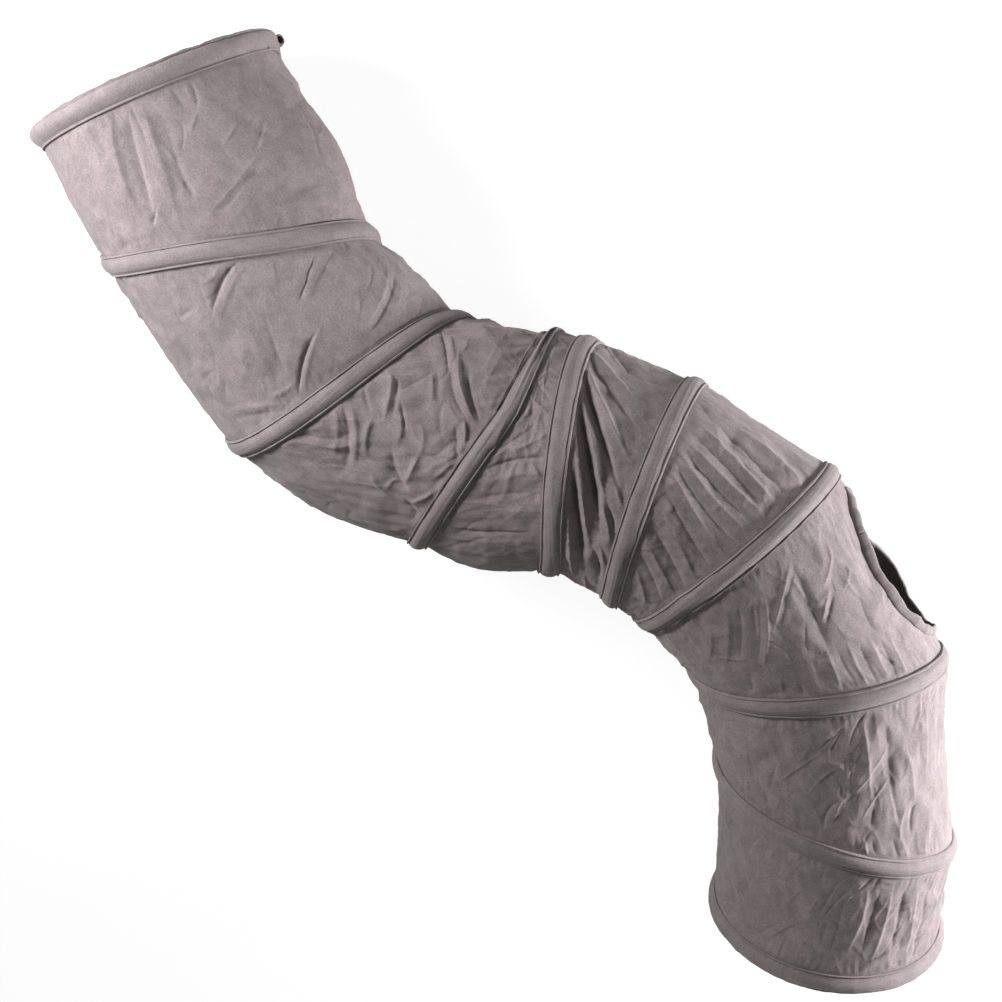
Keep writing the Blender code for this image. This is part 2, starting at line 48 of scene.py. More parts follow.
# How the tunnel lies on the floor, in metres and degrees, ring by ring from the front mouth
lie = {
    "start": (-0.5787, -0.0612),
    "heading": -16.4,
    "axisHeight": 0.1277,
    "spacings": (0.170, 0.170, 0.172, 0.062, 0.074, 0.087, 0.156, 0.184, 0.150),
    "turns": (0.0, 27.0, 22.5, 21.5, -10.5, -26.0, -31.0, -27.5, 0.0),
    "sidesteps": (0.011, 0.0, 0.033, 0.004, -0.029, -0.009, -0.001, 0.0, 0.005),
    "leads": (-0.11, -0.05, -0.13, 0.09, 0.04, 0.05, 0.04, -0.04),  # of each turn's top, in rings
    "closedPitch": 0.014,  # of the spring when a turn is folded flat
    "leave": 0.25,  # turns past the top at which the wire leaves or joins a hoop
    "hoopGap": 0.012,  # rings from a hoop's plane to the end of the winding
}
ringCount = len(lie["spacings"]) + 1
helixStart = 1 + lie["leave"]
helixEnd = ringCount - lie["leave"]
hoopBlend = 2 * lie["leave"]
halfCount = 2 * (ringCount - 1)  # the tunnel is cut at every ring and half way between
halfEdges = 1 + np.arange(halfCount + 1) / 2

# Camera of the photograph, in metres, degrees and pixels
photo = {
    "spot": (-0.2809, 0.4538, 1.3497),
    "turned": (-21.81, 11.42, 50.57),
    "focal": 1303.0,
    "size": 1002,
}


# Where things are

# Level directions to the left of a heading and along it
def leftOf(heading):
    return np.stack([-np.sin(heading), np.cos(heading), np.zeros_like(heading)], -1)


def aheadOf(heading):
    return np.stack([np.cos(heading), np.sin(heading), np.zeros_like(heading)], -1)


# Each ring's centre is the last one plus its spacing ahead and its sidestep to the left
def layOutRings():
    centre = np.array([*lie["start"], lie["axisHeight"]])
    heading = math.radians(lie["heading"])
    centres, headings = [centre], [heading]
    for spacing, turn, sidestep in zip(lie["spacings"], lie["turns"], lie["sidesteps"]):
        middle = np.array(heading + math.radians(turn) / 2)
        centre = centre + spacing * aheadOf(middle) + sidestep * leftOf(middle)
        heading = heading + math.radians(turn)
        centres.append(centre)
        headings.append(heading)
    return np.array(centres), np.array(headings)


ringCentres, ringHeadings = layOutRings()


# Tangent of the angle between the middle line and each ring's own axis
def findLeans():
    number = np.arange(ringCount)
    after = ringCentres[np.minimum(number + 1, ringCount - 1)]
    runs = after - ringCentres[np.maximum(number - 1, 0)]
    return (runs * leftOf(ringHeadings)).sum(1) / (runs * aheadOf(ringHeadings)).sum(1)


ringLeans = findLeans()


# Cubic from start to end with the given slopes
def hermite(start, end, slopeStart, slopeEnd, s):
    return ((2 * s**3 - 3 * s**2 + 1) * start + (s**3 - 2 * s**2 + s) * slopeStart
            + (3 * s**2 - 2 * s**3) * end + (s**3 - s**2) * slopeEnd)


# The line where the planes of two neighbouring rings meet, or None if they are parallel
def findPivot(index):
    if abs(lie["turns"][index]) < 1e-6:
        return None
    side1, side2 = leftOf(ringHeadings[index]), leftOf(ringHeadings[index + 1])
    gap = ringCentres[index + 1] - ringCentres[index]
    reach = (gap[0] * side2[1] - gap[1] * side2[0]) / (side1[0] * side2[1] - side1[1] * side2[0])
    return ringCentres[index] + reach * side1


pivots = [findPivot(index) for index in range(ringCount - 1)]


# Centre and heading of the tube's plane at a place along it, counted in rings. Between two
# rings the plane fans round the pivot, or slides where the rings are parallel.
def frameAt(ring):
    ring = np.asarray(ring, float)
    centre, heading = np.zeros(ring.shape + (3,)), np.zeros(ring.shape)
    index = np.clip(np.floor(ring).astype(int) - 1, 0, ringCount - 2)
    for k in range(ringCount - 1):
        here = index == k
        if not here.any():
            continue
        s = ring[here] - 1 - k
        first, second = ringCentres[k], ringCentres[k + 1]
        angle1, angle2 = ringHeadings[k], ringHeadings[k + 1]
        if pivots[k] is None:
            ahead, left = aheadOf(angle1), leftOf(angle1)
            run, step = (second - first) @ ahead, (second - first) @ left
            side = hermite(0.0, step, run * ringLeans[k], run * ringLeans[k + 1], s)
            centre[here] = first + run * s[:, None] * ahead + side[:, None] * left
            heading[here] = angle1
            continue
        turn = angle2 - angle1
        reach1 = (pivots[k] - first) @ leftOf(angle1)
        reach2 = (pivots[k] - second) @ leftOf(angle2)
        slopes = -reach1 * turn * ringLeans[k], -reach2 * turn * ringLeans[k + 1]
        reach = hermite(reach1, reach2, *slopes, s)
        heading[here] = angle1 + turn * s
        centre[here] = pivots[k] - reach[:, None] * leftOf(heading[here])
    return centre, heading


# Points of the tube: angle 0 is its left side and a quarter turn its top
def place(ring, angle, radius, ahead=0.0):
    ring, angle, radius, ahead = np.broadcast_arrays(ring, angle, radius, ahead)
    centre, heading = frameAt(ring)
    spot = centre + (radius * np.cos(angle))[..., None] * leftOf(heading)
    spot = spot + ahead[..., None] * aheadOf(heading)
    spot[..., 2] += radius * np.sin(angle)
    return spot


# Cloth of the tube, in metres
cloth = {
    "radius": 0.1205,
    "thickness": 0.0012,
    "step": 0.0017,  # of the grid along the tunnel
    "columns": 440,
    "crowding": 0.35,  # of the columns towards the top
    "sag": 0.012,  # how far slack cloth draws in, as a share of its free width
    "sagLimit": 0.0020,
    "fullness": (  # from one band to the next: how far the left, top and right swell, in metres
        (0.0225, 0.0030, 0.0040), (0.0080, 0.0010, 0.0060), (0.0070, 0.0000, 0.0190),
        (0.0000, 0.0000, 0.0150), (0.0000, 0.0000, 0.0010), (0.0020, 0.0000, 0.0030),
        (0.0000, 0.0010, 0.0050), (-0.0020, 0.0000, 0.0040), (0.0000, 0.0000, 0.0000),
    ),
    "drawn": (1.3, 1.3, 1.4, 1.5, 2.0, 1.3, 1.0, 0.8, 0.9),  # times the folds read off the photograph
    "crumple": (0.8, 1.0, 1.5, 0.9, 1.0, 0.8, 0.8, 0.9, 0.8),  # from one band to the next
    "growth": 0.006,  # spare length of the cloth, which buckles into small folds
    "rounds": 130,  # of settling
    "stiffness": 0.10,  # share of each bend that a round takes out
    "weight": 0.000004,  # metres that a round lets the cloth drop
    "measured": (12, 15),  # places round the tunnel for its rows, and every which column at which the ends of a half section are measured
    "sewn": 0.004,  # from a seam to where the cloth is free to settle
    "seam": (0.18, 0.0010),  # painted shade on the cloth beside a seam, and how far it reaches
    "allowance": 1.05,  # of a sheet's length, over the straight distance
    "fullWidth": 0.1,  # free width from which cloth swells fully
    "lean": 1.5,  # how far the first part's swell sits towards its band, 1 being the middle
    "underside": (-0.85, 0.6),  # sine of the angle where swelling starts, and its rise to the whole
}

# Wide peephole, its binding and the cloth that hangs out below it
peephole = {
    "ring": 7.76, "angle": -4.0, "length": 0.168, "height": 0.115,
    "margin": 1.06,  # how far out the cloth is sewn, as the square of a share of its size
    "count": 240,  # points of the binding
    "rollWide": 0.0050, "rollTall": 0.0016,
    "farRim": 1.7,  # times as tall on the far side
    "uneven": (0.25, 0.1, 0.3),  # of the roll: long and short waves of its width, short ones of its height
    "flare": 0.0034,  # how far the near rim's binding turns outwards
    "flareWave": 0.7,
    "upright": 1.3,  # how far the near rim's binding stands up
    "frayed": 0.0007,
    "slack": 0.014,  # how far the cloth hangs out
    "slackAround": (-0.55, 0.4),  # middle and spread in radians from the peephole's angle
    "slackAlong": (0.032, 0.038),  # the same in metres from its ring
}

# Steps of the table of distances, round the tunnel and from ring to ring, and how often a
# place is halved when the table is read backwards
distanceSteps = {"round": 360, "ring": 40, "halvings": 26}


# Distance along the cloth from the front hoop, as a table by angle and ring: the sum of the
# straight steps between points of the plain tube
def measureLines():
    angles = np.linspace(0, tau, distanceSteps["round"] + 1)
    rings = np.linspace(1, ringCount, distanceSteps["ring"] * (ringCount - 1) + 1)
    spots = place(rings[None], angles[:, None], cloth["radius"])
    table = np.zeros((len(angles), len(rings)))
    table[:, 1:] = np.cumsum(np.linalg.norm(np.diff(spots, axis=1), axis=2), axis=1)
    return table


lineTable = measureLines()


# Reads the table between its four nearest entries
def distanceAt(ring, angle):
    x = (np.asarray(angle, float) % tau) / tau * distanceSteps["round"]
    y = np.clip((np.asarray(ring, float) - 1) * distanceSteps["ring"], 0, lineTable.shape[1] - 1.0)
    x, y = np.broadcast_arrays(x, y)
    i = np.minimum(x.astype(int), distanceSteps["round"] - 1)
    j = np.minimum(y.astype(int), lineTable.shape[1] - 2)
    s, t = x - i, y - j
    near = lineTable[i, j] * (1 - s) + lineTable[i + 1, j] * s
    far = lineTable[i, j + 1] * (1 - s) + lineTable[i + 1, j + 1] * s
    return near * (1 - t) + far * t


# The other way round, by halving: the ring at a distance along the cloth
def ringAt(distance, angle):
    distance, angle = np.broadcast_arrays(np.asarray(distance, float), angle)
    low, high = np.ones(distance.shape), np.full(distance.shape, float(ringCount))
    for _ in range(distanceSteps["halvings"]):
        middle = (low + high) / 2
        short = distanceAt(middle, angle) < distance
        low, high = np.where(short, middle, low), np.where(short, high, middle)
    return (low + high) / 2


# The winding is left-handed: turn k crosses the top at ring k, from the right to the left
def angleOf(turn):
    return math.pi / 2 - tau * np.asarray(turn, float)


# The top of each turn leads an even spiral by its own share of a ring, and the bottom trails
def windingLead(turn):
    marks = np.array([helixStart, *range(2, ringCount), helixEnd])
    leads = np.array([0.0, *lie["leads"], 0.0])
    index = np.clip(np.searchsorted(marks, turn, side="right") - 1, 0, len(marks) - 2)
    share = np.clip((turn - marks[index]) / (marks[index + 1] - marks[index]), 0, 1)
    lead = leads[index] + (leads[index + 1] - leads[index]) * share * share * (3 - 2 * share)
    return lead * np.cos(tau * turn)


# Ring that each turn has reached: it grows evenly, and eases out of and into the hoops' planes
def windingRing(turn):
    turn = np.asarray(turn, float)
    leave = np.clip((turn - helixStart) / hoopBlend, 0, 1)
    join = np.clip((turn - helixEnd + hoopBlend) / hoopBlend, 0, 1)
    first = hermite(1 + lie["hoopGap"], helixStart + hoopBlend, 0.0, hoopBlend, leave)
    last = hermite(helixEnd - hoopBlend, ringCount - lie["hoopGap"], hoopBlend, 0.0, join)
    ring = np.where(turn < helixStart + hoopBlend, first, turn)
    return np.where(turn > helixEnd - hoopBlend, last, ring) + windingLead(turn)


# Casing of the spring: a roll over the wire with a raw-edged lip along each seam
casing = {
    "halfWidth": 0.0108,
    "limit": 0.47,  # of a section, where the bends crowd the bands
    "rise": (  # across from the middle, as shares of the half width, and heights in metres
        (0.0, 0.0056), (0.14, 0.0056), (0.28, 0.0053), (0.42, 0.0048), (0.54, 0.0041),
        (0.64, 0.0034), (0.71, 0.0028), (0.755, 0.0023), (0.785, 0.0021), (0.815, 0.0026),
        (0.86, 0.0031), (0.93, 0.0030), (0.985, 0.0021), (1.0, 0.0005),
    ),
    "thickness": 0.0010,
    "step": 0.0032,  # of the grid along the band
    "marks": 3400,  # places measured along the whole winding
    "lip": (0.76, 0.05),  # share of the half width where the lip begins, and how soon it is whole
    "least": (0.0003, 0.0004),  # height of the underside and thickness
    "ragged": 0.0009,  # most that the lip's raw edge rises and falls
    "slack": 0.10,  # most that the roll's height changes, as a share
    "seam": (0.785, 0.022, 0.30),  # place and breadth as shares of the half width, and painted shade of the groove at the seam
    "stitch": (0.66, 0.03, 0.25),
    "stitchLength": 0.0034,
    "turnIn": 0.003,  # of the strip's width, under the seams
}


# Along the winding: turn, ring of the middle, and rings of the band's two edges, which are
# half a width away along the cloth, or nearer where bands crowd
def measureBands():
    turn = np.linspace(helixStart + 0.0005, helixEnd - 0.0005, casing["marks"])
    ring, angle = windingRing(turn), angleOf(turn)
    middle = distanceAt(ring, angle)
    low = np.maximum(ringAt(middle - casing["halfWidth"], angle), ring - casing["limit"])
    high = np.minimum(ringAt(middle + casing["halfWidth"], angle), ring + casing["limit"])
    return turn, ring, low, high


bandTable = measureBands()


# Small tools for surfaces

def smooth(x):
    x = np.clip(x, 0, 1)
    return x * x * (3 - 2 * x)


# Soft random field from 0 to 1 on a grid of cells, over u and v in 0 to 1, v repeating
def blotches(u, v, cellsU, cellsV, seed):
    grid = np.random.RandomState(seed).rand(cellsU + 3, cellsV)
    x, y = np.clip(u, 0, 1) * cellsU, (v % 1.0) * cellsV
    i, j = np.minimum(x.astype(int), cellsU), y.astype(int) % cellsV
    s, t = smooth(x - i), smooth(y - np.floor(y))
    k = (j + 1) % cellsV
    return (grid[i, j] * (1 - s) * (1 - t) + grid[i + 1, j] * s * (1 - t)
            + grid[i, k] * (1 - s) * t + grid[i + 1, k] * s * t)


# Directions square to a grid of points: the cross product of its two slopes
def gridNormals(points, wrap):
    down = np.gradient(points, axis=0)
    if wrap:
        across = (np.roll(points, -1, 1) - np.roll(points, 1, 1)) / 2
    else:
        across = np.gradient(points, axis=1)
    normal = np.cross(across, down)
    return normal / np.maximum(np.linalg.norm(normal, axis=-1, keepdims=True), 1e-12)


# Quads between the neighbouring points of a grid that closes on itself across
def gridFaces(rows, columns):
    i, j = np.arange(rows - 1)[:, None], np.arange(columns)[None]
    k = (j + 1) % columns
    corners = (i * columns + j, i * columns + k, (i + 1) * columns + k, (i + 1) * columns + j)
    return np.stack([np.broadcast_to(c, (rows - 1, columns)) for c in corners], -1).reshape(-1, 4)


# A smooth mesh object from arrays, with its own normals and named numbers on its points
def buildMesh(name, points, faces, material, normals=None, data=None):
    mesh = bpy.data.meshes.new(name)
    points = np.asarray(points, np.float32).reshape(-1, 3)
    mesh.vertices.add(len(points))
    mesh.vertices.foreach_set("co", points.ravel())
    sizes = np.concatenate([np.full(len(f), f.shape[1]) for f in faces])
    loops = np.concatenate([f.ravel() for f in faces]).astype(np.int32)
    mesh.loops.add(len(loops))
    mesh.loops.foreach_set("vertex_index", loops)
    mesh.polygons.add(len(sizes))
    starts = np.concatenate([[0], np.cumsum(sizes)[:-1]]).astype(np.int32)
    mesh.polygons.foreach_set("loop_start", starts)
    mesh.polygons.foreach_set("use_smooth", np.ones(len(sizes), bool))
    mesh.update(calc_edges=True)
    for key, values in (data or {}).items():
        layer = mesh.attributes.new(key, "FLOAT", "POINT")
        layer.data.foreach_set("value", np.asarray(values, np.float32).ravel())
    if normals is not None:
        mesh.normals_split_custom_set_from_vertices(normals.reshape(-1, 3).tolist())
    mesh.materials.append(material)
    item = bpy.data.objects.new(name, mesh)
    bpy.context.scene.collection.objects.link(item)
    return item


# Faces of a closed tube: its rings of points joined up, and one face over each end
def tubeFaces(rows, sides):
    first = np.arange(sides)[None]
    return [gridFaces(rows, sides)[:, ::-1], first, first[:, ::-1] + (rows - 1) * sides]


# A tube of round or flattened section with closed ends: an ellipse carried along a path
def buildTube(name, path, wide, tall, up, material, sides=14):
    run = np.gradient(path, axis=0)
    run = run / np.linalg.norm(run, axis=1, keepdims=True)
    side = np.cross(run, up)
    side = side / np.linalg.norm(side, axis=1, keepdims=True)
    top = np.cross(side, run)
    around = np.arange(sides) * tau / sides
    wide, tall = np.broadcast_to(wide, len(path)), np.broadcast_to(tall, len(path))
    out = (wide[:, None, None] * np.cos(around)[None, :, None] * side[:, None]
           + tall[:, None, None] * np.sin(around)[None, :, None] * top[:, None])
    return buildMesh(name, path[:, None] + out, tubeFaces(len(path), sides), material)


# Which section a half section moves with: its body, its joint, and the plane that it folds
# towards, which is the plane of the ring at its own end
def sectionOf(half):
    gap = half // 2
    body = gap + 1 if half % 2 == 0 else gap + 2
    keep = lie["closedPitch"] / lie["spacings"][gap]
    axis = tuple(float(x) for x in aheadOf(ringHeadings[body - 1]))
    anchor = tuple(float(x) for x in ringCentres[body - 1])
    return f"section_{body:02d}", f"fold_{gap + 1:02d}", axis, anchor, keep


# Lets a piece ride with its half section
def rideHalf(item, half):
    body, joint, axis, anchor, keep = sectionOf(half)
    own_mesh(item)
    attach(item, body)


def replaceHalf(half, node):
    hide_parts(f"{node}_{(half + 1) // 2 + 1:02d}")


# Look of the two suedes and of the metals
suede = {
    "roughness": 0.92, "specular": 0.2,
    "sheen": 0.15, "sheenRoughness": 0.45, "sheenTint": (1.0, 0.93, 0.93),
    "brushed": (75, 6, 0.66, 0.36, 0.64),  # noise scale, detail and roughness, and the span used
    "broad": (16, 4, 0.6, 0.38, 0.62),
    "broadTint": (0.90, 0.895, 0.90),
    "specks": (3, 0.7, 0.34, 0.66),  # detail, roughness and span, at each suede's own scale
    "speckTints": ((0.30, 0.29, 0.29), (0.72, 0.71, 0.71)),
    "speckShare": 0.46,
    # darkening by the seam attribute, for stitch thread and painted shade
    "threadAndShadeTint": (0.50, 0.48, 0.48),
    "fibres": (1.4, 4, 0.65),  # scale over that of the specks, detail and roughness
    "bump": (0.42, 0.0010),  # strength, and height in metres
}
metal = {"grain": 220, "dark": 0.8, "worn": 0.2}  # noise scale, share of the colour, added roughness


# Napped suede: brushed blotches of lighter and darker pile, fine specks, a bump of short
# fibres, and, from the seam attribute, darker stitch thread and painted shade at seams and hidden sides
def makeSuede(name, light, dark, napSize):
    material = bpy.data.materials.new(name)
    material.use_nodes = True
    nodes, links = material.node_tree.nodes, material.node_tree.links
    shader = nodes["Principled BSDF"]
    shader.inputs["Roughness"].default_value = suede["roughness"]
    shader.inputs["Specular IOR Level"].default_value = suede["specular"]
    shader.inputs["Sheen Weight"].default_value = suede["sheen"]
    shader.inputs["Sheen Roughness"].default_value = suede["sheenRoughness"]
    shader.inputs["Sheen Tint"].default_value = (*suede["sheenTint"], 1)
    spot = nodes.new("ShaderNodeTexCoord")

    def speckle(scale, detail, rough):
        pattern = nodes.new("ShaderNodeTexNoise")
        pattern.inputs["Scale"].default_value = scale
        pattern.inputs["Detail"].default_value = detail
        pattern.inputs["Roughness"].default_value = rough
        links.new(spot.outputs["Object"], pattern.inputs["Vector"])
        return pattern.outputs["Fac"]

    def mix(kind, first, second, share):
        node = nodes.new("ShaderNodeMix")
        node.data_type = "RGBA"
        node.blend_type = kind
        node.clamp_result = True
        if isinstance(share, float):
            node.inputs["Factor"].default_value = share
        else:
            links.new(share, node.inputs["Factor"])
        for socket, value in (("A", first), ("B", second)):
            inlet = [s for s in node.inputs if s.name == socket and s.type == "RGBA"][0]
            if isinstance(value, tuple):
                inlet.default_value = (*value, 1)
            else:
                links.new(value, inlet)
        return [s for s in node.outputs if s.type == "RGBA"][0]

    def span(value, low, high):
        node = nodes.new("ShaderNodeMapRange")
        node.inputs["From Min"].default_value = low
        node.inputs["From Max"].default_value = high
        links.new(value, node.inputs["Value"])
        return node.outputs["Result"]

    scale, detail, rough, *limits = suede["brushed"]
    colour = mix("MIX", dark, light, span(speckle(scale, detail, rough), *limits))
    scale, detail, rough, *limits = suede["broad"]
    colour = mix("MULTIPLY", colour, suede["broadTint"], span(speckle(scale, detail, rough), *limits))
    detail, rough, *limits = suede["specks"]
    specks = mix("MIX", *suede["speckTints"], span(speckle(napSize, detail, rough), *limits))
    colour = mix("OVERLAY", colour, specks, suede["speckShare"])
    # The seam attribute darkens for stitch thread and for painted shade: beside seams, in grooves, on
    # undersides, at raw edges' roots and in the sleeve's bores
    seam = nodes.new("ShaderNodeAttribute")
    seam.attribute_name = "seam"
    colour = mix("MULTIPLY", colour, suede["threadAndShadeTint"], seam.outputs["Fac"])
    links.new(colour, shader.inputs["Base Color"])
    fibres = nodes.new("ShaderNodeBump")
    fibres.inputs["Strength"].default_value = suede["bump"][0]
    fibres.inputs["Distance"].default_value = suede["bump"][1]
    finer, detail, rough = suede["fibres"]
    links.new(speckle(napSize * finer, detail, rough), fibres.inputs["Height"])
    links.new(fibres.outputs["Normal"], shader.inputs["Normal"])
    return material


# Drawn metal: fine noise shades the colour and the polish together
def makeMetal(name, colour, rough):
    material = bpy.data.materials.new(name)
    material.use_nodes = True
    nodes, links = material.node_tree.nodes, material.node_tree.links
    shader = nodes["Principled BSDF"]
    shader.inputs["Metallic"].default_value = 1.0
    spot = nodes.new("ShaderNodeTexCoord")
    drawn = nodes.new("ShaderNodeTexNoise")
    drawn.inputs["Scale"].default_value = metal["grain"]
    links.new(spot.outputs["Object"], drawn.inputs["Vector"])
    ramp = nodes.new("ShaderNodeValToRGB")
    ramp.color_ramp.elements[0].color = (*[metal["dark"] * c for c in colour], 1)
    ramp.color_ramp.elements[1].color = (*colour, 1)
    links.new(drawn.outputs["Fac"], ramp.inputs["Fac"])
    links.new(ramp.outputs["Color"], shader.inputs["Base Color"])
    wear = nodes.new("ShaderNodeMapRange")
    wear.inputs["To Min"].default_value = rough
    wear.inputs["To Max"].default_value = rough + metal["worn"]
    links.new(drawn.outputs["Fac"], wear.inputs["Value"])
    links.new(wear.outputs["Result"], shader.inputs["Roughness"])
    return material


panelSuede = makeSuede("panelSuede", (0.306, 0.262, 0.266), (0.250, 0.213, 0.218), 700)
bandSuede = makeSuede("bandSuede", (0.295, 0.254, 0.258), (0.250, 0.215, 0.219), 760)
springSteel = makeMetal("springSteel", (0.36, 0.37, 0.38), 0.3)
ferruleAlloy = makeMetal("ferruleAlloy", (0.62, 0.62, 0.63), 0.35)

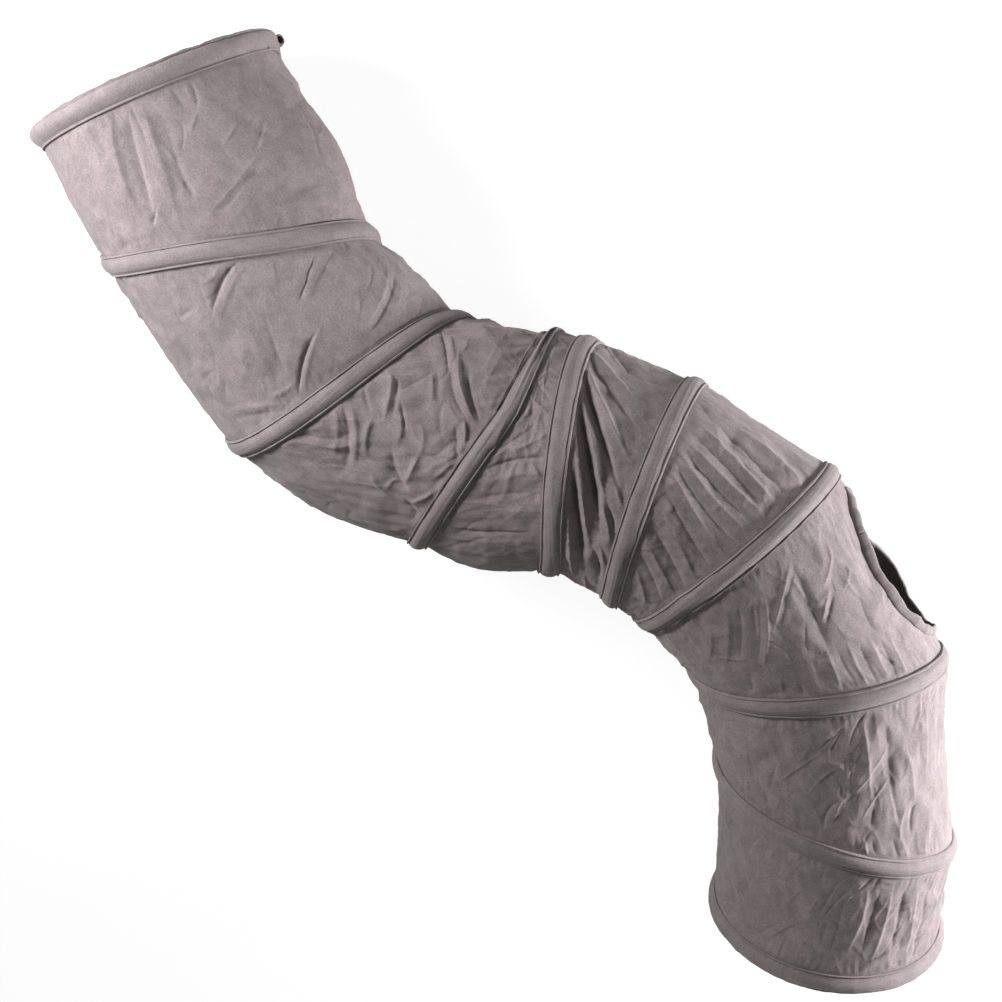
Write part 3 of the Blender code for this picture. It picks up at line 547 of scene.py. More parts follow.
# Folds that the photograph shows, each read off it in its pixels: start, middle and end of
# the fold, half its breadth in pixels, and its height in millimetres, below zero for a valley
folds = {
    "frontMouthToSecondBand": (
        (112, 112, 118, 160, 140, 215, 7, 2.2), (127, 108, 138, 160, 155, 222, 6, -2.5),
        (140, 104, 158, 150, 182, 232, 8, 2.2), (165, 120, 180, 170, 197, 205, 7, -1.3),
        (188, 78, 195, 92, 198, 112, 2.5, -1.2), (198, 112, 194, 122, 190, 136, 2.5, 1.0),
        (238, 121, 230, 135, 221, 149, 2.2, 0.9), (265, 115, 260, 135, 256, 150, 2.5, -1.0),
        (270, 118, 264, 136, 259, 152, 2.5, 0.8), (259, 155, 235, 185, 205, 220, 3, 1.3),
        (265, 158, 242, 188, 212, 222, 3, -0.8), (196, 168, 222, 160, 258, 157, 2.5, 0.8),
        (262, 150, 280, 148, 294, 147, 2, -0.8), (157, 207, 154, 218, 153, 226, 2.2, -1.4),
        (182, 178, 190, 188, 197, 198, 2, -1.3), (297, 192, 318, 188, 339, 184, 2, 0.7),
        (262, 205, 280, 203, 296, 200, 2, -0.5), (312, 99, 338, 130, 358, 166, 2, 0.8),
        (100, 132, 110, 127, 124, 133, 2, -0.5), (96, 205, 102, 214, 106, 226, 3, 0.7),
        (210, 120, 232, 112, 246, 100, 4, 0.6), (280, 110, 296, 104, 306, 92, 5, -0.8),
    ),
    "secondToThirdBand": (
        (241, 259, 222, 283, 212, 318, 3.5, -3.0), (249, 262, 231, 288, 220, 322, 4, 1.2),
        (315, 252, 307, 281, 297, 306, 3, -1.8), (321, 254, 313, 282, 303, 308, 3.5, 1.2),
        (318, 330, 304, 360, 299, 396, 2.6, -3.0), (324, 322, 311, 354, 305, 392, 4, 1.6),
        (334, 250, 328, 262, 320, 278, 2.5, -1.2), (388, 265, 381, 300, 355, 339, 4, 1.6),
        (395, 268, 388, 302, 362, 342, 4, -1.3), (361, 294, 360, 312, 358, 330, 3, -0.9),
        (272, 260, 275, 275, 278, 290, 3, 1.0), (244, 307, 257, 345, 278, 397, 8, 1.7),
        (262, 300, 272, 340, 290, 380, 6, -1.2), (192, 306, 186, 314, 179, 320, 2, -0.8),
        (224, 412, 255, 406, 288, 404, 3, 1.2), (226, 420, 258, 414, 290, 410, 3, -1.0),
        (262, 402, 282, 392, 297, 381, 3, 1.2), (342, 268, 352, 290, 348, 330, 6, 0.9),
        (140, 290, 160, 320, 170, 350, 6, 0.8), (180, 340, 200, 372, 222, 392, 6, -0.9),
        (370, 262, 372, 276, 366, 292, 2.5, -1.0), (222, 262, 214, 276, 204, 284, 3, 0.9),
    ),
    "thirdToFourthBand": (
        (440, 328, 447, 350, 448, 375, 2.4, -2.4), (447, 330, 453, 352, 455, 378, 3, 1.2),
        (460, 350, 460, 385, 477, 424, 3, 3.2), (469, 368, 471, 395, 482, 424, 2.6, -2.2),
        (454, 360, 454, 392, 471, 424, 3, -1.6), (431, 367, 433, 388, 432, 402, 3, 1.3),
        (437, 368, 439, 388, 438, 404, 3, -1.0), (389, 373, 391, 390, 382, 427, 3, 2.2),
        (396, 378, 397, 394, 390, 424, 3, -1.5), (400, 397, 404, 419, 405, 432, 2.5, -1.7),
        (463, 419, 466, 432, 463, 449, 2.5, 2.2), (457, 424, 457, 438, 459, 452, 2.5, -1.7),
        (455, 445, 458, 454, 460, 464, 2.5, -2.2), (391, 447, 396, 471, 405, 484, 5, -3.0),
        (405, 484, 413, 467, 419, 453, 4.5, 2.6), (384, 493, 394, 480, 405, 486, 3, 2.2),
        (408, 503, 424, 497, 437, 490, 3, 2.2), (403, 497, 413, 510, 421, 523, 3, -2.2),
        (432, 480, 445, 469, 456, 462, 4, 1.9), (342, 400, 349, 438, 344, 472, 3.5, -2.6),
        (350, 402, 357, 436, 352, 472, 4, 1.7), (334, 404, 338, 430, 333, 462, 4, 1.3),
        (364, 380, 366, 396, 371, 412, 2.5, -1.5), (374, 418, 367, 434, 367, 460, 4, 2.0),
        (399, 409, 402, 428, 396, 447, 4, 1.6), (386, 460, 399, 479, 409, 492, 4, -2.0),
        (372, 470, 380, 486, 396, 500, 4, 1.4), (330, 480, 350, 496, 372, 504, 5, -1.0),
        (445, 400, 440, 420, 444, 440, 4, -1.2), (420, 420, 424, 440, 418, 458, 4, 1.2),
    ),
    "fourthToFifthBand": (
        (532, 373, 545, 393, 558, 408, 3, -1.0), (520, 388, 536, 402, 556, 420, 3, 0.9),
        (484, 471, 514, 460, 553, 458, 4, -1.8), (484, 483, 520, 474, 552, 473, 7, 1.7),
        (470, 502, 510, 494, 546, 496, 6, -1.2), (466, 513, 506, 510, 544, 512, 6, 1.0),
        (449, 525, 478, 532, 540, 532, 2.5, -1.7), (446, 535, 480, 541, 538, 541, 5, 1.1),
        (530, 460, 540, 475, 548, 488, 2.5, 1.1), (510, 453, 536, 440, 553, 432, 2.5, 0.9),
        (500, 448, 520, 436, 540, 420, 3, -0.9), (434, 549, 467, 542, 493, 536, 3, -1.0),
        (505, 430, 522, 418, 532, 404, 4, 0.9), (540, 500, 546, 512, 548, 524, 3, -0.9),
    ),
    "fifthToSixthBand": (
        (582, 344, 609, 370, 641, 407, 4.5, 1.6), (583, 350, 606, 383, 640, 432, 4.5, -2.0),
        (583, 358, 600, 398, 630, 460, 4.5, 2.8), (582, 366, 597, 420, 618, 486, 4.5, -5.0),
        (579, 380, 593, 440, 606, 508, 3.6, 3.2), (577, 394, 588, 456, 600, 530, 4.0, -5.5),
        (575, 420, 581, 480, 590, 548, 3.4, 3.2), (571, 462, 576, 512, 584, 572, 4.2, -5.5),
        (569, 500, 570, 540, 574, 580, 3.4, 2.4), (600, 498, 609, 528, 613, 560, 3.4, 2.2),
        (606, 500, 615, 530, 620, 566, 3.2, -2.4), (592, 545, 600, 575, 604, 606, 3.6, -3.6),
        (598, 540, 607, 572, 612, 602, 3.4, 2.6), (614, 480, 622, 506, 626, 530, 3.4, 1.4),
        (584, 575, 590, 596, 600, 616, 3.6, 2.2), (608, 344, 626, 366, 652, 392, 4, -1.0),
        (583, 396, 592, 466, 600, 546, 9, -2.4), (574, 470, 579, 520, 586, 570, 8, -1.8),
    ),
    "sixthToSeventhBand": (
        (700, 396, 730, 420, 778, 446, 6, 1.3), (712, 420, 752, 458, 795, 502, 5, -2.0),
        (728, 423, 774, 457, 805, 488, 5, 2.2), (698, 423, 735, 460, 780, 510, 5, 2.2),
        (690, 432, 731, 470, 772, 514, 4.5, -2.2), (687, 441, 726, 480, 768, 518, 5, 2.2),
        (682, 445, 715, 486, 758, 526, 4.5, -2.2), (679, 449, 710, 494, 750, 534, 5, 2.0),
        (674, 458, 702, 505, 740, 546, 5, -2.4), (671, 468, 698, 518, 728, 557, 5, 2.0),
        (663, 487, 687, 530, 712, 570, 5, -2.4), (657, 508, 679, 544, 698, 583, 5, 2.2),
        (650, 523, 670, 557, 686, 589, 4.5, -2.4), (645, 540, 663, 571, 675, 595, 4.5, 2.0),
        (639, 551, 653, 579, 661, 601, 4.5, -2.2), (633, 563, 643, 587, 647, 607, 4, 1.8),
    ),
    "seventhToEighthBand": (
        (792, 558, 782, 597, 772, 638, 2, 1.5), (796, 560, 787, 600, 778, 638, 3, -0.9),
        (764, 593, 768, 634, 763, 670, 3, 1.5), (758, 596, 761, 634, 757, 668, 4, -1.2),
        (826, 540, 830, 565, 822, 590, 2, 1.6), (829, 590, 825, 608, 821, 626, 2.2, 1.9),
        (834, 592, 830, 610, 826, 628, 2.4, -1.4), (811, 611, 823, 597, 833, 585, 2, 1.1),
        (844, 564, 848, 577, 842, 593, 2.4, 1.2), (831, 526, 850, 562, 880, 600, 8, 2.0),
        (791, 564, 811, 605, 829, 652, 8, -2.6), (846, 640, 858, 668, 872, 692, 4.5, 1.7),
        (868, 636, 880, 662, 893, 686, 4.5, 1.8), (890, 636, 898, 656, 908, 679, 4.5, 1.7),
        (824, 646, 834, 670, 842, 692, 5, 1.4), (858, 642, 870, 668, 882, 690, 4, -1.2),
        (880, 638, 890, 660, 900, 684, 4, -1.2), (836, 648, 848, 672, 860, 692, 4.5, -1.1),
        (806, 619, 806, 638, 808, 654, 2, -1.1), (809, 654, 823, 653, 840, 646, 2, -0.9),
        (752, 600, 755, 620, 757, 640, 5, -1.5), (727, 609, 729, 638, 725, 670, 6, 1.6),
        (738, 604, 742, 630, 740, 662, 5, -1.4), (706, 622, 712, 640, 708, 664, 5, 1.3),
        (686, 635, 692, 645, 700, 655, 4, -1.4), (750, 672, 752, 684, 753, 694, 3, -1.0),
        (779, 676, 782, 686, 783, 697, 3, 1.0), (800, 682, 803, 690, 805, 698, 3, -1.0),
        (860, 596, 868, 620, 884, 640, 5, -1.4),
    ),
    "eighthToNinthBand": (
        (845, 726, 836, 744, 831, 755, 2.4, -1.7), (825, 751, 798, 769, 778, 782, 2, 1.3),
        (780, 755, 773, 780, 770, 794, 2.4, -1.6), (766, 785, 769, 807, 780, 827, 5, -1.4),
        (838, 778, 843, 793, 841, 801, 2.4, -2.0), (841, 801, 828, 812, 824, 832, 2.4, -2.6),
        (848, 790, 838, 808, 832, 826, 3, 1.7), (892, 740, 874, 769, 845, 805, 1.8, 1.1),
        (863, 717, 867, 755, 872, 807, 5, 2.8), (905, 749, 912, 775, 914, 807, 5, 2.4),
        (923, 695, 926, 740, 925, 776, 5, 2.4), (885, 724, 890, 762, 892, 807, 7, -2.8),
        (917, 717, 920, 745, 919, 775, 4, -1.6), (917, 803, 912, 816, 911, 836, 2.4, -3.0),
        (906, 806, 901, 824, 899, 846, 3, 1.6), (863, 838, 866, 850, 868, 862, 3, 1.6),
        (872, 840, 875, 852, 877, 862, 3, -1.6), (901, 838, 905, 850, 908, 861, 3, 1.6),
        (893, 838, 896, 850, 898, 862, 3, -1.6), (746, 724, 766, 729, 786, 727, 3, -0.9),
        (797, 820, 790, 800, 785, 780, 7, 1.4), (742, 737, 748, 752, 744, 768, 5, 1.0),
        (812, 730, 808, 750, 798, 762, 5, 1.0), (850, 760, 852, 790, 856, 822, 5, -1.4),
        (936, 700, 938, 740, 936, 790, 5, -1.6), (930, 820, 928, 832, 930, 846, 3, 1.4),
    ),
    "ninthBandToRearMouth": (
        (725, 794, 733, 852, 748, 940, 3, 1.7), (731, 796, 740, 852, 756, 938, 4, -1.0),
        (854, 886, 838, 901, 820, 922, 2.4, -1.5), (867, 888, 863, 915, 845, 957, 5, 2.2),
        (892, 888, 883, 926, 870, 962, 4.5, 2.6), (917, 888, 912, 919, 905, 957, 4.5, 2.7),
        (935, 886, 932, 919, 923, 953, 4, 2.2), (880, 888, 872, 920, 858, 960, 4.5, -2.2),
        (905, 888, 898, 922, 888, 960, 4.5, -2.4), (927, 888, 922, 920, 914, 955, 3.6, -2.2),
        (910, 892, 892, 913, 883, 924, 1.8, 1.1), (829, 915, 825, 933, 816, 951, 4, -0.9),
        (870, 962, 896, 949, 914, 940, 2, 0.9), (786, 858, 800, 880, 806, 905, 7, 0.9),
        (770, 900, 782, 930, 800, 960, 7, -0.9), (846, 890, 838, 930, 826, 962, 5, -1.2),
    ),
}


# Pixel of the photograph that each point falls on, and how squarely it faces the camera:
# the point in the camera's own axes, divided by its distance ahead
def photoPixel(points, normals):
    right, up, back = np.array(Euler([math.radians(a) for a in photo["turned"]]).to_matrix()).T
    ray = points - np.array(photo["spot"])
    depth = -(ray @ back)
    x = photo["size"] / 2 + photo["focal"] * (ray @ right) / depth
    y = photo["size"] / 2 - photo["focal"] * (ray @ up) / depth
    facing = -(ray * normals).sum(-1) / np.linalg.norm(ray, axis=-1)
    return x, y, facing


# How a fold is shaped
foldShape = {
    "pieces": 8,  # straight pieces that its curve is measured by
    "taper": 0.3,  # share of its length over which an end dies away
    "endBreadth": 0.4,  # share of its breadth and height that is left at an end
    "endHeight": 0.08,
    "sides": (0.6, 1.3),  # of the breadth, on the steep and on the easy side
    "narrow": 5.2,  # folds of less breadth are sharp, others blunt
    "sharp": 0.9,  # how much of the crest is pointed
    "blunt": 0.5,
    "point": 1.25,  # how fast a pointed crest falls
    "reach": 3.2,  # breadths from the crest to where it ends
}


# Height of folds over points x, y: each is a bell across a curve through its three points,
# steeper on one side, which narrows and dies away towards its two ends. Lengths are in the
# unit of x, y.
def foldHeights(x, y, strokes):
    total = np.zeros(x.shape)
    t = np.linspace(0, 1, foldShape["pieces"] + 1)
    for x0, y0, x1, y1, x2, y2, breadth, height in strokes:
        reach = foldShape["reach"] * breadth
        box = ((x > min(x0, x1, x2) - reach) & (x < max(x0, x1, x2) + reach)
               & (y > min(y0, y1, y2) - reach) & (y < max(y0, y1, y2) + reach))
        if not box.any():
            continue
        px, py = x[box], y[box]
        bendX, bendY = 2 * x1 - (x0 + x2) / 2, 2 * y1 - (y0 + y2) / 2
        lineX = (1 - t)**2 * x0 + 2 * t * (1 - t) * bendX + t**2 * x2
        lineY = (1 - t)**2 * y0 + 2 * t * (1 - t) * bendY + t**2 * y2
        best, where, turned = np.full(px.shape, 1e9), np.zeros(px.shape), np.zeros(px.shape)
        for i in range(len(t) - 1):
            runX, runY = lineX[i + 1] - lineX[i], lineY[i + 1] - lineY[i]
            share = ((px - lineX[i]) * runX + (py - lineY[i]) * runY) / (runX**2 + runY**2)
            share = np.clip(share, 0, 1)
            gap = (px - lineX[i] - share * runX)**2 + (py - lineY[i] - share * runY)**2
            nearer = gap < best
            best = np.where(nearer, gap, best)
            where = np.where(nearer, t[i] + share * (t[i + 1] - t[i]), where)
            turned = np.where(nearer, (px - lineX[i]) * runY - (py - lineY[i]) * runX, turned)
        ends = smooth(where / foldShape["taper"]) * smooth((1 - where) / foldShape["taper"])
        narrowed = foldShape["endBreadth"] + (1 - foldShape["endBreadth"]) * ends
        lowered = foldShape["endHeight"] + (1 - foldShape["endHeight"]) * ends
        away = np.sqrt(best) / (breadth * narrowed * np.where(turned > 0, *foldShape["sides"]))
        sharp = foldShape["sharp" if breadth < foldShape["narrow"] else "blunt"]
        bell = (1 - sharp) * np.exp(-away**2) + sharp * np.exp(-foldShape["point"] * away)
        total[box] += height * bell * lowered * (away < foldShape["reach"])
    return total


# Random folds for the sides that the photograph doesn't show, and small creases everywhere,
# in millimetres along and round
strays = {
    "folds": {
        "count": 420, "seed": 11,
        "runs": (14, 46), "breadths": (2.4, 6.5), "heights": (0.7, 2.2),  # half lengths, half breadths
    },
    "creases": {
        "count": 900, "seed": 12,
        "runs": (8, 28), "breadths": (1.5, 2.6), "heights": (0.35, 1.2),
    },
    "length": 1300,  # of cloth that they are spread over
    "girth": (-190, 570),
    "lean": 0.5,  # spread of their directions in radians
    "straight": 0.65,  # share that keeps to it, while the others turn further
    "further": 1.2,
    "bow": 0.25,  # most that one bends, as a share of half its length
}


def drawStrays(count, seed, runs, breadths, heights):
    chance = np.random.RandomState(seed)
    strokes = []
    for _ in range(count):
        x, y = chance.uniform(0, strays["length"]), chance.uniform(*strays["girth"])
        lean = chance.normal(0, strays["lean"])
        lean += 0 if chance.rand() < strays["straight"] else strays["further"]
        run = chance.uniform(*runs)
        dx, dy = run * math.cos(lean), run * math.sin(lean)
        bow = chance.uniform(-strays["bow"], strays["bow"])
        strokes.append((x - dx, y - dy, x - bow * dy, y + bow * dx, x + dx, y + dy,
                        chance.uniform(*breadths), chance.uniform(*heights) * chance.choice([-1, 1])))
    return strokes


# Crumples of the cloth, in millimetres and radians
crumples = {
    "waves": ((19, 0.5), (27, -0.7), (36, 0.15), (48, -0.35), (63, 1.0), (80, -1.1)),  # length, lean
    "height": 0.030,  # of a wave, as a share of its length
    "bend": 1.1,  # how far a crest wanders, in lengths
    "patches": (2.2, 0.7),  # how sharply the patches without crumples are cut, and from what level
    "bottom": 0.02,  # share of the way round over which they fade along the bottom
}


# Crumpled cloth: flat facets that meet in creases, from triangle waves of several lengths
# and leans, bent and masked by soft noise
def crumple(x, y, u, v):
    total = np.zeros(x.shape)
    for number, (length, lean) in enumerate(crumples["waves"]):
        bend = blotches(u, v, 26 + 3 * number, 18 + 2 * number, 60 + number) - 0.5
        bend = crumples["bend"] * bend
        phase = (x * math.sin(lean) + y * math.cos(lean)) / length + bend
        wave = 2 * np.abs(phase % 1 - 0.5)
        patch = blotches(u, v, 34 - 2 * number, 24, 80 + number)
        mask = smooth(crumples["patches"][0] * patch - crumples["patches"][1])
        total += crumples["height"] * length * (wave - 0.5) * mask
    bottom = np.minimum(v % 1.0, 1 - v % 1.0)
    return total * smooth(bottom / crumples["bottom"])


# Angles of the cloth's columns, from the bottom round, closer together over the top
def clothAngles():
    share = np.arange(cloth["columns"] + 1) / cloth["columns"]
    return -math.pi / 2 - tau * share - cloth["crowding"] * np.sin(tau * share)


# Rows of the cloth's grid, one exactly on every ring and middle plane, and where they are
def clothRows():
    rows, ends = [1.0], [0]
    angles = np.arange(cloth["measured"][0]) * tau / cloth["measured"][0]
    for half in range(halfCount):
        span = halfEdges[half:half + 2]
        edge = place(span[None], angles[:, None], cloth["radius"])
        length = np.linalg.norm(edge[:, 1] - edge[:, 0], axis=1).mean()
        count = max(8, int(round(length / cloth["step"])))
        rows += list(np.linspace(*span, count + 1)[1:])
        ends.append(len(rows) - 1)
    return np.array(rows), ends


# Hem round each mouth: a strip rolled over the hoop and seamed to the cloth
hem = {
    "width": 0.0138,  # from the hoop inwards
    "edge": 0.0052,  # from the hoop outwards
    "seam": 0.0115,
    "rise": (  # from the inner seam out over the hoop and round into the mouth: ahead, radius
        (0.0138, 0.1211), (0.0137, 0.1221), (0.0131, 0.1226), (0.0124, 0.1225), (0.0119, 0.1220),
        (0.0115, 0.1217), (0.0109, 0.1220), (0.0098, 0.1230), (0.0082, 0.1242), (0.0060, 0.1257),
        (0.0036, 0.1268), (0.0012, 0.1272), (-0.0016, 0.1270), (-0.0037, 0.1260),
        (-0.0048, 0.1246), (-0.0052, 0.1228), (-0.0050, 0.1206), (-0.0040, 0.1190),
        (-0.0018, 0.1180), (0.0030, 0.1177), (0.0080, 0.1177), (0.0118, 0.1179), (0.0134, 0.1182),
    ),
    "thickness": 0.0011,
    "columns": 420,
    "waves": (0.0011, 0.0007),  # long and short, of the edge
    "swells": (0.0005, 0.0003),  # long and short, of the roll's height
    "waving": (0.004, 0.008),  # where the edge begins to wave, and how soon it does so fully
    "grooveShade": (0.45, 0.0006, 0.12),  # painted shade in the groove at the inner seam, its breadth, and the radius that it is outside of
    "keep": 0.35,  # of its width when the tunnel is folded flat
    "flat": (0.126, 0.043),  # radius that the strip goes round at, and its width
}


# Distance along the cloth of the nearest band's or hem's edge before and after each point,
# and how many bands lie before it
def clothSeams(ring, angle):
    part = ((math.pi / 2 - angle) / tau) % 1.0
    here = distanceAt(ring, angle)
    before = np.full(here.shape, hem["width"])
    after = distanceAt(np.full(here.shape, float(ringCount)), angle) - hem["width"]
    gap = np.zeros(here.shape, int)
    turnRow, _, lowRow, highRow = bandTable
    for whole in range(1, ringCount):
        turn = whole + part
        live = (turn > helixStart) & (turn < helixEnd)
        low = distanceAt(np.interp(turn, turnRow, lowRow), angle)
        high = distanceAt(np.interp(turn, turnRow, highRow), angle)
        passed = live & (here >= (low + high) / 2)
        before = np.where(passed, np.maximum(before, high), before)
        after = np.where(live & ~passed, np.minimum(after, low), after)
        gap += passed
    return before, here, after, gap


# Cloth pulled straight from band to band: each point moves in its own plane to where the
# chord between the two seams crosses it, then swells or draws in by half a sine wave, and
# hangs out below the peephole by a bell. Out is from the middle line.
def stretchCloth(ring, angle, before, here, after, gap):
    plain = place(ring, angle, cloth["radius"])
    centre, heading = frameAt(ring)
    out = plain - centre
    out /= np.linalg.norm(out, axis=-1, keepdims=True)
    loose = (here > before) & (here < after)
    start = place(ringAt(before, angle), angle, cloth["radius"])
    end = place(ringAt(after, angle), angle, cloth["radius"])
    ahead = aheadOf(heading)
    run = ((end - start) * ahead).sum(-1)
    share = np.clip(((centre - start) * ahead).sum(-1) / np.where(loose, run, 1.0), 0, 1)
    chord = start + share[..., None] * (end - start)
    spots = np.where(loose[..., None], chord, plain)
    width = np.maximum(after - before, 1e-4)
    reached = np.clip((here - before) / width, 0, 1)**np.where(gap == 0, cloth["lean"], 1.0)
    arch = np.where(loose, np.sin(math.pi * reached), 0.0)
    sides = np.array(cloth["fullness"])[np.minimum(gap, ringCount - 2)]
    side = np.cos(angle)
    top = sides[..., 1]
    swell = top + np.where(side > 0, sides[..., 0] - top, sides[..., 2] - top) * side**2
    sag = np.minimum(cloth["sag"] * width, cloth["sagLimit"])
    lift = (swell * np.minimum(width / cloth["fullWidth"], 1) - sag) * arch
    low, rise = cloth["underside"]
    lift = np.where(lift > 0, lift * smooth((np.sin(angle) - low) / rise), lift)
    around = (angle - math.radians(peephole["angle"]) + math.pi) % tau - math.pi
    along = here - distanceAt(np.full(here.shape, peephole["ring"]), angle)
    around = (around - peephole["slackAround"][0]) / peephole["slackAround"][1]
    along = (along - peephole["slackAlong"][0]) / peephole["slackAlong"][1]
    lift = lift + peephole["slack"] * arch * np.exp(-around**2 - along**2)
    return spots + lift[..., None] * out, out


# Finer relief of the cloth: heights in millimetres, distances in metres
relief = {
    "veins": 0.5,  # thin lines where the cloth was pressed
    "ripple": 0.7,
    "nap": 0.3,
    "gather": 0.75,  # puckers beside a seam
    "gathers": 92,  # of them round the tunnel
    "gatherReach": 0.009,
    "edge": 0.007,  # from a seam to where folds are whole
    "shown": 0.15,  # share of the stray folds that is left where the photograph looks
    "facing": (0.02, 0.2),  # how squarely cloth faces the camera where it begins to look, and more
    "floor": (0.86, 0.1, 0.4),  # depth where the floor flattens folds, how soon, and what is left
}


# Height of the cloth's folds: those seen in the photograph, stray folds where it doesn't
# look, creases and crumples, ripples of soft noise, and gathers at the seams
def foldCloth(plain, ring, angle, near, far, gap):
    x, y, facing = photoPixel(plain, -gridNormals(plain, True))
    seen = smooth((facing - relief["facing"][0]) / relief["facing"][1])
    strokes = [(*stroke[:7], stroke[7] * share)
               for share, group in zip(cloth["drawn"], folds.values()) for stroke in group]
    drawn = foldHeights(x, y, strokes) * seen
    along = 1000 * distanceAt(ring, angle)
    around = 1000 * cloth["radius"] * (((angle + math.pi / 2) % tau) - math.pi / 2)
    stray = foldHeights(along, around, drawStrays(**strays["folds"]))
    stray = stray * (1 - (1 - relief["shown"]) * seen)
    creases = foldHeights(along, around, drawStrays(**strays["creases"]))
    u, v = (ring - 1) / (ringCount - 1), angle / tau
    ripple = blotches(u, v + 0.35 * u, 62, 44, 3) + 0.5 * blotches(u, v + 0.2 * u, 120, 84, 4) - 0.75
    nap = blotches(u, v, 260, 170, 5) - 0.5
    closeness = np.minimum(near, far)
    pucker = np.sin(relief["gathers"] * angle + 9 * blotches(u, v, 30, 30, 6)) * blotches(u, v, 40, 40, 7)
    gather = pucker * np.exp(-closeness / relief["gatherReach"])
    veins = (1 - np.abs(2 * blotches(u, v + 0.25 * u, 48, 30, 8) - 1))**7
    share = np.array(cloth["crumple"])[np.minimum(gap, ringCount - 2)]
    creased = share * crumple(along, around, u, (angle + math.pi / 2) / tau)
    total = (drawn + stray + creases + creased + relief["veins"] * veins + relief["ripple"] * ripple
             + relief["nap"] * nap + relief["gather"] * gather)
    total = total * smooth(closeness / relief["edge"]) * 0.001
    depth, soon, left = relief["floor"]
    flattened = smooth((-np.sin(angle) - depth) / soon)
    return np.where((near > 0) & (far > 0), total * (1 - (1 - left) * flattened), 0.0)


# Settles the cloth like a net of threads: each thread is drawn back to its own length, the
# net is smoothed a little against sharp bends, and sewn points stay
def settle(points, lengths, free, rounds):
    points = points.astype(np.float32)
    free = free.astype(np.float32)[..., None]
    every, less, more = slice(None), slice(None, -1), slice(1, None)
    links = []
    for start in (0, 1):
        one, other, pick = slice(start, -1, 2), slice(start + 1, None, 2), slice(start, None, 2)
        links.append(((one, every), (other, every), lengths[0][pick]))
        links.append(((every, one), (every, other), lengths[1][:, pick]))
        links.append(((one, less), (other, more), lengths[2][pick]))
        links.append(((one, more), (other, less), lengths[3][pick]))
    links = [(a, b, free[a], free[b], size[..., None].astype(np.float32)) for a, b, size in links]
    inner, innerFree = points[1:-1, 1:-1], free[1:-1, 1:-1]
    for _ in range(rounds):
        for a, b, freeA, freeB, length in links:
            gap = points[b] - points[a]
            size = np.sqrt((gap * gap).sum(-1, keepdims=True))
            gap *= 0.5 * (size - length) / np.maximum(size, 1e-9)
            points[a] += gap * freeA
            points[b] -= gap * freeB
        mean = (points[:-2, 1:-1] + points[2:, 1:-1] + points[1:-1, :-2] + points[1:-1, 2:]) / 4
        inner += cloth["stiffness"] * (mean - inner) * innerFree
        inner[..., 2] -= cloth["weight"] * innerFree[..., 0]
    return points.astype(float)


def threadLengths(points):
    return (np.linalg.norm(points[1:] - points[:-1], axis=-1),
            np.linalg.norm(points[:, 1:] - points[:, :-1], axis=-1),
            np.linalg.norm(points[1:, 1:] - points[:-1, :-1], axis=-1),
            np.linalg.norm(points[1:, :-1] - points[:-1, 1:], axis=-1))


# Below 1 inside the oval: the squares of the two distances as shares of the half sizes
def peepholeShare(ring, angle):
    middle = math.radians(peephole["angle"])
    along = distanceAt(ring, angle) - distanceAt(np.full(np.shape(angle), peephole["ring"]), angle)
    around = ((angle - middle + math.pi) % tau - math.pi) * cloth["radius"]
    return (2 * along / peephole["length"])**2 + (2 * around / peephole["height"])**2


# Faces of a sheet that has all its outer points and then all its inner ones: both sides of
# every quad that isn't in the hole, and a wall along each edge that only one quad has. Also
# which points they use, and the share of the quads that is left.
def sheetFaces(count, columns, inHole):
    total = count * columns
    quads = gridFaces(count, columns)[:, ::-1]
    quads = quads[~inHole.ravel()[quads].all(1)]
    edges = np.concatenate([quads[:, [0, 1]], quads[:, [1, 2]], quads[:, [2, 3]], quads[:, [3, 0]]])
    code = np.sort(edges, 1) @ np.array([total, 1])
    _, first, number = np.unique(code, return_index=True, return_counts=True)
    rim = edges[first[number == 1]]
    walls = np.stack([rim[:, 1], rim[:, 0], rim[:, 0] + total, rim[:, 1] + total], 1)
    used = np.zeros(2 * total, bool)
    used[quads.ravel()] = True
    used[quads.ravel() + total] = True
    number = np.cumsum(used) - 1
    faces = [number[quads], number[quads[:, ::-1] + total], number[walls]]
    return faces, used, len(quads) / ((count - 1) * columns)


